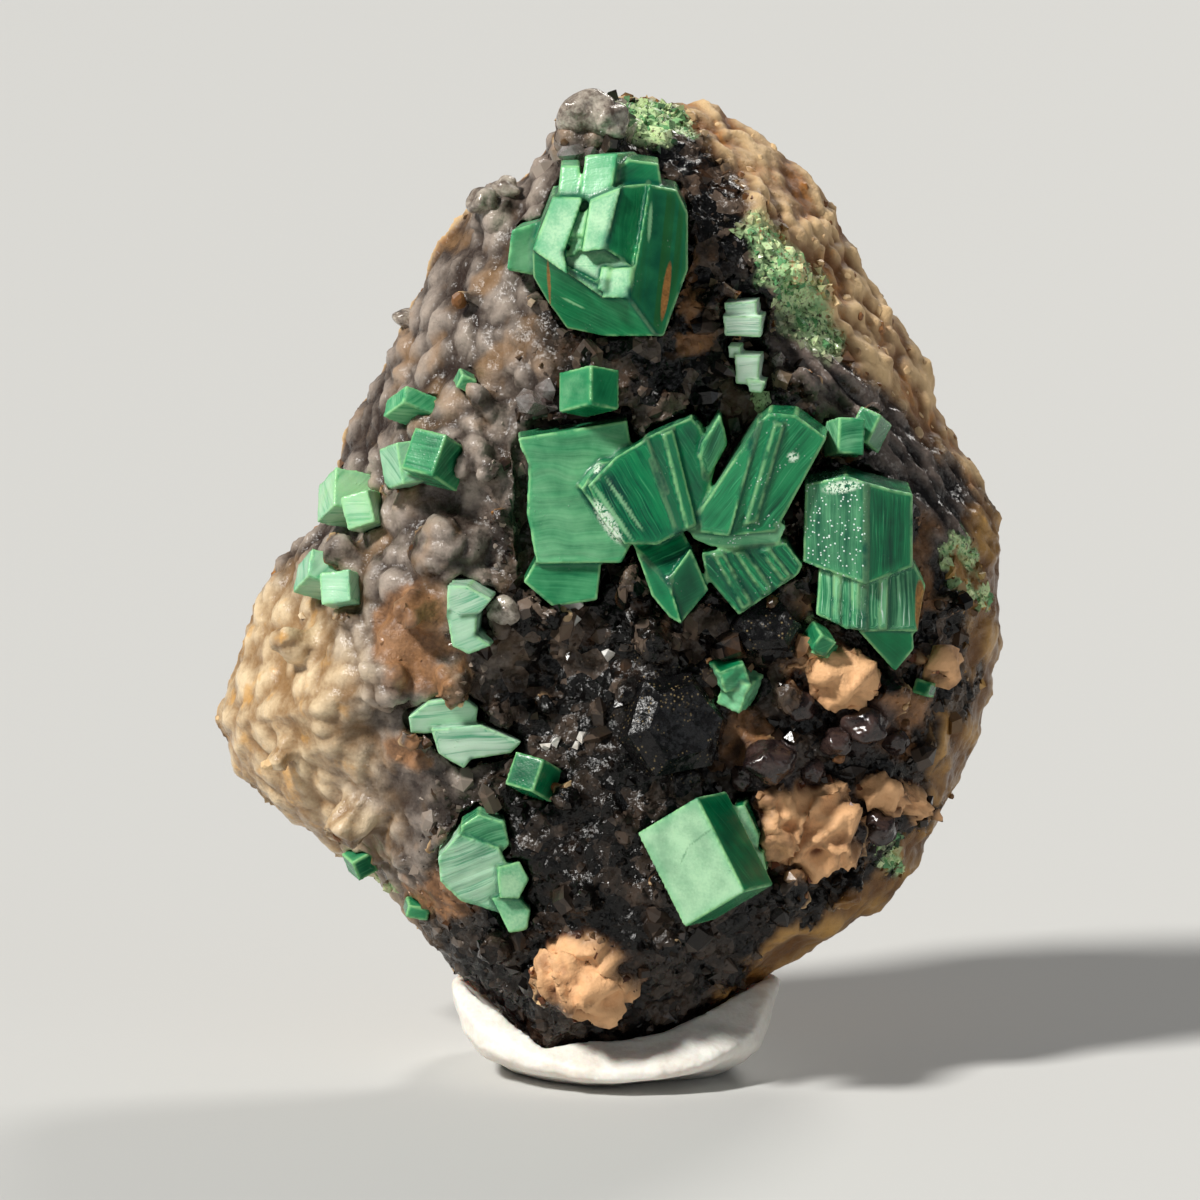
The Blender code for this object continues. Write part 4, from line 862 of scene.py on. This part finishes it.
# the colours of the stone, dim and bright, on the same scale
stoneTints = {
    "dark": ((6, 5, 5), (108, 92, 80)),
    "darkPatch": (80, 54, 34),
    "darkLow": (9, 7, 6),
    "grey": ((52, 41, 36), (178, 164, 152)),
    "greyPatch": (170, 132, 92),
    "tip": ((140, 106, 68), (238, 214, 176)),
    "tipPatch": (214, 160, 84),
    "brown": ((72, 46, 28), (168, 122, 82)),
    "band": ((28, 23, 22), (128, 114, 106)),
    "amber": ((104, 68, 30), (196, 152, 88)),
    "amberPatch": (136, 100, 58),
    "rind": ((124, 82, 46), (224, 190, 142)),
    "rindOrange": (188, 126, 62),
    "rindPatch": (156, 122, 94),
    "clay": ((110, 60, 32), (226, 176, 128)),
    "clayPatch": (122, 82, 56),
    "green": ((98, 158, 104), (216, 236, 178)),
    "smoky": ((16, 11, 12), (84, 68, 66)),
    "pepper": ((11, 10, 11), (140, 120, 86)),
}


def stoneColour(paint, lift, tone):
    # the colours of all zones, for the stone itself and for the grains on it, with painted shade in the
    # hollows and painted highlight on the bumps
    zone = {name: paint.value(name) for name in zoneNames}
    hue, pair = readTints(stoneTints)
    patches = paint.cloud(0.9, 4.0)
    grainy = paint.cloud(9.0, 4.0, 0.65)
    # how high the surface stands; mixed into the colours below it paints shade into the hollows and
    # highlight onto the bumps (on the grains it is a random tone)
    height = (lift * 2.2 + 0.5).within(0.1, 0.9)
    shade = patches * 0.5 + grainy * 0.3 + tone * 0.35
    each = paint.cells(1.7, 1).within(0.35, 0.75)
    dark = (shade * 0.4 + height * 0.25 + each * 0.35).within(0.35, 0.85).mix(*pair["dark"])
    dark = (patches.within(0.54, 0.72) * grainy).mix(dark, hue["darkPatch"])
    dark = (zone["low"] * 0.6).mix(dark, hue["darkLow"])
    grey = (shade * 0.6 + height * 0.45).within(0.3, 0.85).mix(*pair["grey"])
    grey = (paint.cloud(0.7, 2.0).within(0.5, 0.7) * 0.5).mix(grey, hue["greyPatch"])
    colour = (zone["grey"] * 0.92).mix(dark, grey)
    tan = (shade * 0.65 + height * 0.45).within(0.3, 0.85).mix(*pair["tip"])
    tan = (paint.cloud(1.2, 3.0).within(0.55, 0.7) * 0.6).mix(tan, hue["tipPatch"])
    colour = zone["tip"].mix(colour, tan)
    brown = shade.within(0.3, 0.8).mix(*pair["brown"])
    colour = (zone["brown"] * 0.9).mix(colour, brown)
    striped = (height * 0.6 + shade * 0.5).within(0.3, 0.9).mix(*pair["band"])
    colour = (zone["band"] * 0.9).mix(colour, striped)
    amber = (patches * 0.7 + height * 0.4).within(0.3, 0.85).mix(*pair["amber"])
    amber = (grainy.within(0.5, 0.75) * 0.6).mix(amber, hue["amberPatch"])
    colour = zone["amber"].mix(colour, amber)
    rind = (height * 0.8 + shade * 0.4).within(0.25, 1.0).mix(*pair["rind"])
    orange = (paint.cloud(1.6, 3.0).within(0.5, 0.66) * (1.1 - height)).within(0.0, 1.0)
    rind = (orange * 0.6).mix(rind, hue["rindOrange"])
    rind = (paint.cloud(0.5, 4.0).within(0.52, 0.7) * 0.5).mix(rind, hue["rindPatch"])
    colour = zone["rind"].mix(colour, rind)
    clay = (height * 0.8 + shade * 0.35).within(0.3, 1.0).mix(*pair["clay"])
    clay = (paint.cloud(1.1, 4.0).within(0.5, 0.66) * 0.55).mix(clay, hue["clayPatch"])
    colour = zone["clay"].mix(colour, clay)
    green = (shade * 0.7 + tone * 0.4).within(0.3, 0.85).mix(*pair["green"])
    colour = (zone["green"] * grainy.within(0.34, 0.5)).mix(colour, green)
    smoky = shade.within(0.4, 0.9).mix(*pair["smoky"])
    colour = (zone["smoky"] * 0.9).mix(colour, smoky)
    specks = paint.cells(8.0).within(0.3, 0.16) * paint.cloud(2.4, 3.0).within(0.45, 0.62)
    pepper = (specks * 0.75).mix(*pair["pepper"])
    colour = (zone["pepper"] * 0.9).mix(colour, pepper)
    dull = zone["rind"] + zone["clay"] + zone["brown"] * 0.5 + zone["green"] * 0.4 + zone["amber"] * 0.3
    return colour, dull.within(0.0, 1.0), grainy


def paintStone():
    paint = Paint("stoneSkin")
    colour, dull, grainy = stoneColour(paint, paint.value("lift"), paint.cloud(3.0, 2.0))
    roughness = 0.16 + dull * 0.4 + grainy * 0.12
    soft = dull + paint.value("amber") + paint.value("tip") * 0.7 + paint.value("grey") * 0.5
    glitter = 1.0 - soft.within(0.0, 1.0) * 0.85
    bumps = [
        (0.04, paint.cloud(5.0, 4.0)),
        (0.1, paint.shards(4.5) * glitter),
        (0.04, paint.shards(10.0) * glitter),
        (0.012, paint.cloud(18.0, 3.0)),
    ]
    return paint.finish(colour, roughness, bumps, IOR=1.54, Specular_IOR_Level=0.28)


def paintGrains():
    paint = Paint("quartzGrains")
    tone = paint.value("tone")
    colour, dull, grainy = stoneColour(paint, tone - 0.5, tone)
    roughness = 0.07 + tone * 0.14 + dull * 0.35
    return paint.finish(colour, roughness, [(0.006, grainy)], IOR=1.54, Specular_IOR_Level=0.3)


# grains that grow on the stone
class Skin:
    # the stone's surface as triangles
    def __init__(self, mesh):
        self.points = readPoints(mesh)
        self.normals = readNormals(mesh)
        mesh.calc_loop_triangles()
        corners = np.empty(len(mesh.loop_triangles) * 3, np.int32)
        mesh.loop_triangles.foreach_get("vertices", corners)
        self.corners = corners.reshape(-1, 3)
        one, two, three = (self.points[self.corners[:, side]] for side in range(3))
        self.area = np.linalg.norm(np.cross(two - one, three - one), axis=1) / 2
        self.tree = BVHTree.FromPolygons(self.points.tolist(), self.corners.tolist())

    def shownAt(self, px, py):
        # the place that shows at a pixel of the photograph, and its normal
        start, ray = photoRay(px, py)
        place, normal = self.tree.ray_cast(start, ray)[:2]
        if place is None:
            # just outside the outline: the nearest place on the stone
            place, normal = self.tree.find_nearest(start - ray * (start.y / ray.y))[:2]
        return np.array(place), np.array(normal)


def scatter(skin, kind, weight, crystalTree):
    # random places at least a spacing apart, more where the weight is high
    dice = np.random.default_rng(kind["seed"])
    tries, spacing = kind["tries"], kind["spacing"]
    chance = skin.area * weight[skin.corners].mean(axis=1)
    picks = dice.choice(len(chance), size=tries, p=chance / chance.sum())
    shares = dice.dirichlet((1.0, 1.0, 1.0), size=tries)
    places = np.einsum("nk,nkj->nj", shares, skin.points[skin.corners[picks]])
    taken = {}
    kept = []
    for index, place in enumerate(places):
        cell = tuple(int(part) for part in np.floor(place / spacing))
        near = False
        for dx in (-1, 0, 1):
            for dy in (-1, 0, 1):
                for dz in (-1, 0, 1):
                    for other in taken.get((cell[0] + dx, cell[1] + dy, cell[2] + dz), ()):
                        near = near or float(((place - other) ** 2).sum()) < spacing * spacing
        if near:
            continue
        if crystalTree.find_nearest(Vector(place), kind["clearance"])[0] is not None:
            continue
        taken.setdefault(cell, []).append(place)
        kept.append(index)
    corner = skin.corners[picks[kept], 0]
    return places[kept], skin.normals[corner], corner


def quartzShape():
    # a six-sided prism with a pointed end, one unit wide
    ring = [(math.cos(math.pi / 3 * side), math.sin(math.pi / 3 * side)) for side in range(6)]
    points = [(x, y, -1.0) for x, y in ring] + [(x, y, 0.35) for x, y in ring] + [(0.12, 0.05, 1.15)]
    faces = []
    for side in range(6):
        after = (side + 1) % 6
        faces.append((side, after, after + 6, side + 6))
        faces.append((side + 6, after + 6, 12))
    faces.append(tuple(reversed(range(6))))
    return np.array(points), faces


def flakeShape():
    # a blunt four-sided shard, one unit wide
    points = [
        (1.0, 0.1, -0.6), (0.1, 0.9, -0.6), (-0.9, 0.0, -0.6), (-0.1, -1.0, -0.6), (0.4, 0.3, 0.5),
        (-0.5, 0.2, 0.7), (-0.1, -0.5, 0.4),
    ]
    faces = [
        (0, 1, 4), (1, 5, 4), (1, 2, 5), (2, 6, 5), (2, 3, 6), (3, 0, 4), (3, 4, 6), (4, 5, 6),
        (3, 2, 1, 0),
    ]
    return np.array(points), faces


def ballShape(steps):
    ball = bpy.data.meshes.new("ball")
    shape = bmesh.new()
    bmesh.ops.create_icosphere(shape, subdivisions=steps, radius=1.0)
    shape.to_mesh(ball)
    shape.free()
    points = readPoints(ball)
    faces = [tuple(face.vertices) for face in ball.polygons]
    bpy.data.meshes.remove(ball)
    return points, faces


# the grains: how they are scattered and how each one stands
grainKinds = {
    "drusePoints": {
        "shape": quartzShape(),
        "tries": 9000,
        "spacing": 0.5,       # millimetres
        "clearance": 0.06,    # kept free around the crystals, in millimetres
        "size": (0.1, 0.4),   # smallest and largest half width in millimetres
        "stretch": 1.2,       # largest length for that width
        "lean": 0.5,          # how far grains tilt away from the surface
        "sink": 0.7,          # how deep they stand in it, in parts of the size
        "rough": 0.12,        # unevenness of the shape
        "seed": 21,
    },
    "druseShards": {
        "shape": flakeShape(), "tries": 22000, "spacing": 0.26, "clearance": 0.04, "size": (0.07, 0.2),
        "stretch": 1.1, "lean": 0.7, "sink": 0.5, "rough": 0.2, "seed": 31,
    },
    "rindCrumbs": {
        "shape": ballShape(2), "tries": 3000, "spacing": 0.5, "clearance": 0.1, "size": (0.1, 0.3),
        "stretch": 0.9, "lean": 0.4, "sink": 0.8, "rough": 0.12, "seed": 41,
    },
    "greenCrust": {
        "shape": flakeShape(), "tries": 6000, "spacing": 0.15, "clearance": 0.05, "size": (0.08, 0.26),
        "stretch": 0.9, "lean": 0.9, "sink": 0.2, "rough": 0.2, "seed": 51,
    },
}


def grainWeights(zones):
    # how likely each kind of grain is at each point of the stone, never quite 0
    plain = np.maximum.reduce(
        [zones["rind"], zones["clay"], zones["amber"], zones["band"], zones["green"] * 0.7]
    )
    calm = np.maximum.reduce([zones["smoky"], zones["pepper"], zones["grey"], zones["tip"]])
    free = np.clip(1.0 - plain * 1.3, 0.0, 1.0)
    dark = np.clip(1.0 - np.maximum(plain, zones["brown"] * 0.7) * 2.4, 0.0, 1.0)
    return {
        "drusePoints": dark * np.clip(1.0 - calm * 1.3, 0.0, 1.0) + 0.0000001,
        "druseShards": free * np.clip(1.0 - calm * 1.1, 0.0, 1.0) + 0.00001,
        "rindCrumbs": zones["rind"] * 0.4 + zones["brown"] * 0.3 + 0.0001,
        "greenCrust": zones["green"] + 0.00001,
    }


def plantGrains(name, kind, spots, zones):
    # one mesh of many grains
    places, normals, corner = spots
    dice = np.random.default_rng(kind["seed"] + 1)
    template, faces = kind["shape"]
    count, each = len(places), len(template)
    axis = normals + dice.normal(size=(count, 3)) * kind["lean"]
    axis /= np.linalg.norm(axis, axis=1)[:, None]
    aside = np.cross(axis, dice.normal(size=(count, 3)))
    aside /= np.linalg.norm(aside, axis=1)[:, None]
    other = np.cross(axis, aside)
    turn = np.stack([aside, other, axis], axis=1)
    low, high = kind["size"]
    size = low + (high - low) * dice.random(count) ** 2.5
    depth = size * dice.uniform(0.6, 1.0, count)
    length = size * dice.uniform(0.7, kind["stretch"], count)
    grown = template[None] * np.stack([size, depth, length], axis=1)[:, None]
    grown *= 1.0 + dice.uniform(-kind["rough"], kind["rough"], size=(count, each, 1))
    foot = places - axis * (size * kind["sink"])[:, None]
    points = np.einsum("nvi,nij->nvj", grown, turn) + foot[:, None]
    flat = points.reshape(-1, 3)
    starts = np.arange(count) * each
    allFaces = [tuple(start + part for part in face) for start in starts.tolist() for face in faces]
    mesh = bpy.data.meshes.new(name)
    mesh.from_pydata(flat.tolist(), [], allFaces)
    for zone, values in zones.items():
        writeValues(mesh, zone, np.repeat(values[corner], each))
    writeValues(mesh, "tone", np.repeat(dice.random(count), each))
    print(name, count, "grains")
    return mesh


def tableShape():
    # a low six-sided block with sloping shoulders and a tilted top, one unit wide
    turns = [math.pi / 3 * side + 0.12 * (side % 2) for side in range(6)]
    rings = ((1.0, -0.6), (1.0, 0.05), (0.74, 0.4))
    points = [
        (math.cos(turn) * wide, math.sin(turn) * wide, rise) for wide, rise in rings for turn in turns
    ]
    faces = []
    for ring in (0, 6):
        for side in range(6):
            after = (side + 1) % 6
            faces.append((ring + side, ring + after, ring + after + 6, ring + side + 6))
    faces.append(tuple(range(12, 18)))
    faces.append(tuple(reversed(range(6))))
    return np.array(points), faces


# single pieces that show in the photograph
looseKinds = {
    "clearQuartz": {
        "shape": quartzShape(),
        "rough": 0.12,                  # unevenness of the shape
        "lift": 0.2,                    # off the stone, in parts of the size
        "dim": (150, 134, 126),
        "bright": (222, 216, 214),
        "roughness": 0.07,
        "shards": 0.03,                 # height of the broken faces in millimetres
        "finish": {"Transmission_Weight": 0.6},
        "seed": 71,
        # pixel, half width in millimetres, height for that width, lean to x and to z
        "places": [
            (572, 152, 0.34, 1.3, -0.3, 0.3), (590, 156, 0.3, 1.2, 0.1, 0.5),
            (604, 150, 0.24, 1.2, 0.3, 0.4), (534, 402, 0.38, 1.4, -0.2, 0.5),
            (546, 392, 0.3, 1.3, 0.3, 0.6), (778, 360, 0.18, 1.2, -0.3, 0.5),
        ],
    },
    "smokyQuartz": {
        "shape": ballShape(4), "rough": 0.36, "lift": -0.1, "dim": (104, 88, 78),
        "bright": (226, 214, 198),
        "roughness": 0.1, "shards": 0.07, "finish": {"Transmission_Weight": 0.25}, "seed": 72,
        "places": [
            (586, 114, 0.72, 0.9, -0.3, 0.5), (612, 120, 0.56, 0.9, 0.4, 0.3),
            (598, 98, 0.42, 0.9, 0.0, 0.8), (792, 521, 0.32, 1.0, 0.2, 0.1),
            (502, 612, 0.44, 0.9, 0.3, 0.2), (494, 596, 0.3, 1.0, 0.2, 0.6),
            (408, 320, 0.46, 0.9, -0.4, 0.4), (470, 200, 0.5, 0.8, -0.4, 0.6),
            (505, 190, 0.4, 0.8, -0.2, 0.7),
        ],
    },
    "blackQuartz": {
        "shape": ballShape(4), "rough": 0.32, "lift": 0.0, "dim": (22, 15, 16), "bright": (70, 54, 50),
        "roughness": 0.07, "shards": 0.05, "finish": {}, "seed": 73,
        "places": [
            (770, 762, 0.7, 0.9, 0.2, 0.2), (866, 726, 0.66, 0.9, 0.2, 0.2),
            (880, 828, 0.46, 0.9, 0.3, 0.1), (836, 742, 0.42, 0.9, 0.0, 0.3),
            (800, 706, 0.46, 0.9, 0.1, 0.3), (812, 772, 0.36, 0.9, 0.0, 0.1),
            (896, 742, 0.36, 0.9, 0.2, 0.0), (742, 778, 0.36, 0.9, -0.2, 0.0),
        ],
    },
    "pepperedQuartz": {
        "shape": tableShape(), "rough": 0.1, "lift": -0.12, "dim": (7, 7, 8), "bright": (22, 21, 22),
        "speck": (136, 118, 84), "roughness": 0.22, "shards": 0.07,
        "finish": {"Specular_IOR_Level": 0.25},
        "seed": 74,
        "places": [
            (676, 724, 1.4, 0.75, 0.35, -0.1), (640, 742, 0.8, 0.8, -0.1, -0.4),
            (765, 624, 0.95, 0.8, 0.25, 0.3),
        ],
    },
    # white flakes where the brightest white spots are: partly white chips, partly painted highlights
    # standing in for glints
    "whiteChipsAndGlints": {
        "shape": flakeShape(), "rough": 0.2, "lift": 0.6, "dim": (216, 208, 196),
        "bright": (254, 252, 248),
        "roughness": 0.3, "shards": 0.03, "finish": {}, "seed": 75,
        "places": [
            (564, 606, 0.6, 0.9, -0.8, 0.3), (568, 624, 0.34, 1.4, -0.6, -0.7),
            (607, 651, 0.2, 1.2, -0.3, 0.6), (548, 747, 0.15, 1.2, -0.9, 0.3),
            (558, 742, 0.17, 1.2, 0.9, 0.3), (577, 746, 0.14, 1.2, 0.5, 0.8),
            (584, 736, 0.16, 1.2, 0.5, 0.8),
        ],
    },
}


def plantLoose(name, kind, skin):
    # each of the pieces where the photograph shows it, leaning as given
    dice = np.random.default_rng(kind["seed"])
    template, faces = kind["shape"]
    rounded = len(faces) > 40
    rough = kind["rough"]
    points = []
    allFaces = []
    for px, py, size, stretch, leanX, leanZ in kind["places"]:
        place, normal = skin.shownAt(px, py)
        axis = Vector(normal) + Vector((leanX, 0.0, leanZ))
        turn = np.array(axis.to_track_quat('Z', 'Y').to_matrix())
        grown = template * (size, size * dice.uniform(0.7, 1.0), size * stretch)
        if rounded:
            shift = Vector(dice.uniform(0.0, 50.0, 3))
            swell = [noise.noise(Vector(point) * 1.3 + shift) for point in template]
            grown *= 1.0 + np.array(swell)[:, None] * rough
        else:
            grown *= 1.0 + dice.uniform(-rough, rough, size=(len(template), 1))
        start = len(points)
        points += (grown @ turn.T + place + np.array(normal) * size * kind["lift"]).tolist()
        allFaces += [tuple(start + part for part in face) for face in faces]
    mesh = bpy.data.meshes.new(name)
    mesh.from_pydata(points, [], allFaces)
    if rounded:
        mesh.shade_smooth()
    return mesh


def paintLoose(name, kind):
    # one kind of quartz or chip, cloudy between two colours
    paint = Paint(name)
    cloudy = paint.cloud(2.2, 4.0)
    grainy = paint.cloud(9.0, 4.0, 0.65)
    colour = (cloudy * 0.65 + grainy * 0.35).within(0.35, 0.68)
    colour = colour.mix(tint(*kind["dim"]), tint(*kind["bright"]))
    if "speck" in kind:
        specks = paint.cells(9.0).within(0.32, 0.16) * paint.cloud(2.0, 3.0).within(0.45, 0.6)
        colour = (specks * 0.8).mix(colour, tint(*kind["speck"]))
    shards = kind["shards"]
    bumps = [
        (0.05, cloudy),
        (shards, paint.shards(4.0)),
        (shards * 0.4, paint.shards(9.0)),
        (0.01, grainy),
    ]
    return paint.finish(colour, kind["roughness"] + grainy * 0.1, bumps, IOR=1.54, **kind["finish"])


def makeStone(crystalTree):
    fine, coarse = fineMesh("matrix", stoneFinish["voxel"])
    bpy.data.meshes.remove(coarse)
    zones = shapeStone(fine)
    skin = Skin(fine)
    print("stone", len(fine.vertices), "points,", len(skin.corners), "triangles")
    grains = paintGrains()
    addPiece("stone", fine, paintStone(), ["matrix"])
    weights = grainWeights(zones)
    for name, kind in grainKinds.items():
        spots = scatter(skin, kind, weights[name], crystalTree)
        addPiece(name, plantGrains(name, kind, spots, zones), grains)
    for name, kind in looseKinds.items():
        addPiece(name, plantLoose(name, kind, skin), paintLoose(name, kind))
    print("loose pieces done")


def makeCrystals():
    random = np.random.default_rng(5)
    spots = []
    faces = []
    for nodeName, own in crystals.items():
        settings = {**crystalFinish, **own}
        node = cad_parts[nodeName]
        start = len(spots)
        spots += [vert.co / mm for vert in node.data.vertices]
        faces += [tuple(start + corner for corner in face.vertices) for face in node.data.polygons]
        fine = growCrystal(nodeName, settings, random)
        pieceName = nodeName.replace("torbernite_", "crystal_")
        addPiece(pieceName, fine, paintCrystal(pieceName, settings), [nodeName])
    print("crystals done")
    return BVHTree.FromPolygons(spots, faces)


puttyFinish = {
    "voxel": 0.1,
    "fold": 0.1,          # height of the soft folds in millimetres
    "dent": 0.03,
    "dim": (224, 216, 204),
    "bright": (246, 243, 236),
}


def paintPutty():
    paint = Paint("putty")
    soft = paint.cloud(0.5, 3.0)
    grainy = paint.cloud(7.0, 3.0)
    colour = (soft * 0.7 + grainy * 0.3).within(0.3, 0.7)
    colour = colour.mix(tint(*puttyFinish["dim"]), tint(*puttyFinish["bright"]))
    bumps = [(0.06, paint.cloud(1.6, 2.0)), (0.015, grainy)]
    return paint.finish(colour, 0.5, bumps, Subsurface_Weight=0.2, Subsurface_Scale=0.6 * mm)


def makePutty():
    fine, coarse = fineMesh("putty_foot", puttyFinish["voxel"])
    bpy.data.meshes.remove(coarse)
    points = readPoints(fine)
    normals = readNormals(fine)
    fold = cloudValues(points, 0.7, 3.0) * puttyFinish["fold"]
    fold = fold + cloudValues(points, 2.0, 4.0) * puttyFinish["dent"]
    free = smooth(0.1, 0.6, points[:, 2])    # the flat underside stays flat
    writePoints(fine, points + normals * (fold * free)[:, None])
    fine.shade_smooth()
    addPiece("putty", fine, paintPutty(), ["putty_foot"])
    print("putty done")


# floor, light and camera
stage = {
    "floorHalf": 1.5,     # metres
    "floorTint": (200, 200, 198),
    "skyTint": (214, 220, 226),
    "sky": 0.15,
}

# each light: where it comes from, strength, how wide it is in degrees, and colour
suns = {
    "key": ((-150, -125, 190), 4.1, 9.0, (1.0, 0.98, 0.94)),
    "fill": ((170, -160, 60), 0.2, 30.0, (0.92, 0.96, 1.0)),
    "back": ((90, 170, 150), 1.1, 15.0, (1.0, 0.97, 0.92)),
}


def addSun(name, start, strength, softness, colour):
    light = bpy.data.lights.new(name, 'SUN')
    light.energy = strength
    light.angle = math.radians(softness)
    light.color = colour
    holder = bpy.data.objects.new(name, light)
    holder.location = Vector(start) * mm
    holder.rotation_euler = (-Vector(start)).to_track_quat('-Z', 'Y').to_euler()
    bpy.context.scene.collection.objects.link(holder)


def makeStage():
    mesh = bpy.data.meshes.new("floor")
    shape = bmesh.new()
    bmesh.ops.create_grid(shape, x_segments=1, y_segments=1, size=stage["floorHalf"])
    shape.to_mesh(mesh)
    shape.free()
    floor = bpy.data.objects.new("floor", mesh)
    bpy.context.scene.collection.objects.link(floor)
    paint = Paint("floor")
    mesh.materials.append(paint.finish(tint(*stage["floorTint"]), 0.75))
    world = bpy.data.worlds.new("studio")
    world.use_nodes = True
    sky = world.node_tree.nodes["Background"]
    sky.inputs["Color"].default_value = tint(*stage["skyTint"])
    sky.inputs["Strength"].default_value = stage["sky"]
    bpy.context.scene.world = world
    bpy.context.scene.view_settings.view_transform = 'Standard'
    for name, sun in suns.items():
        addSun(name, *sun)
    print("stage done")


def makeCamera():
    place = cameraAxes()[0]
    camera = bpy.data.cameras.new("camera")
    camera.lens = view["lens"]
    camera.sensor_width = view["sensor"]
    camera.clip_start = 0.001
    camera.clip_end = 10.0
    holder = bpy.data.objects.new("camera", camera)
    holder.location = Vector(place) * mm
    holder.rotation_euler = Euler((math.radians(90 - view["elevation"]), 0.0, 0.0))
    bpy.context.scene.collection.objects.link(holder)
    bpy.context.scene.camera = holder


makeStage()
makeCamera()
crystalTree = makeCrystals()
makeStone(crystalTree)
makePutty()
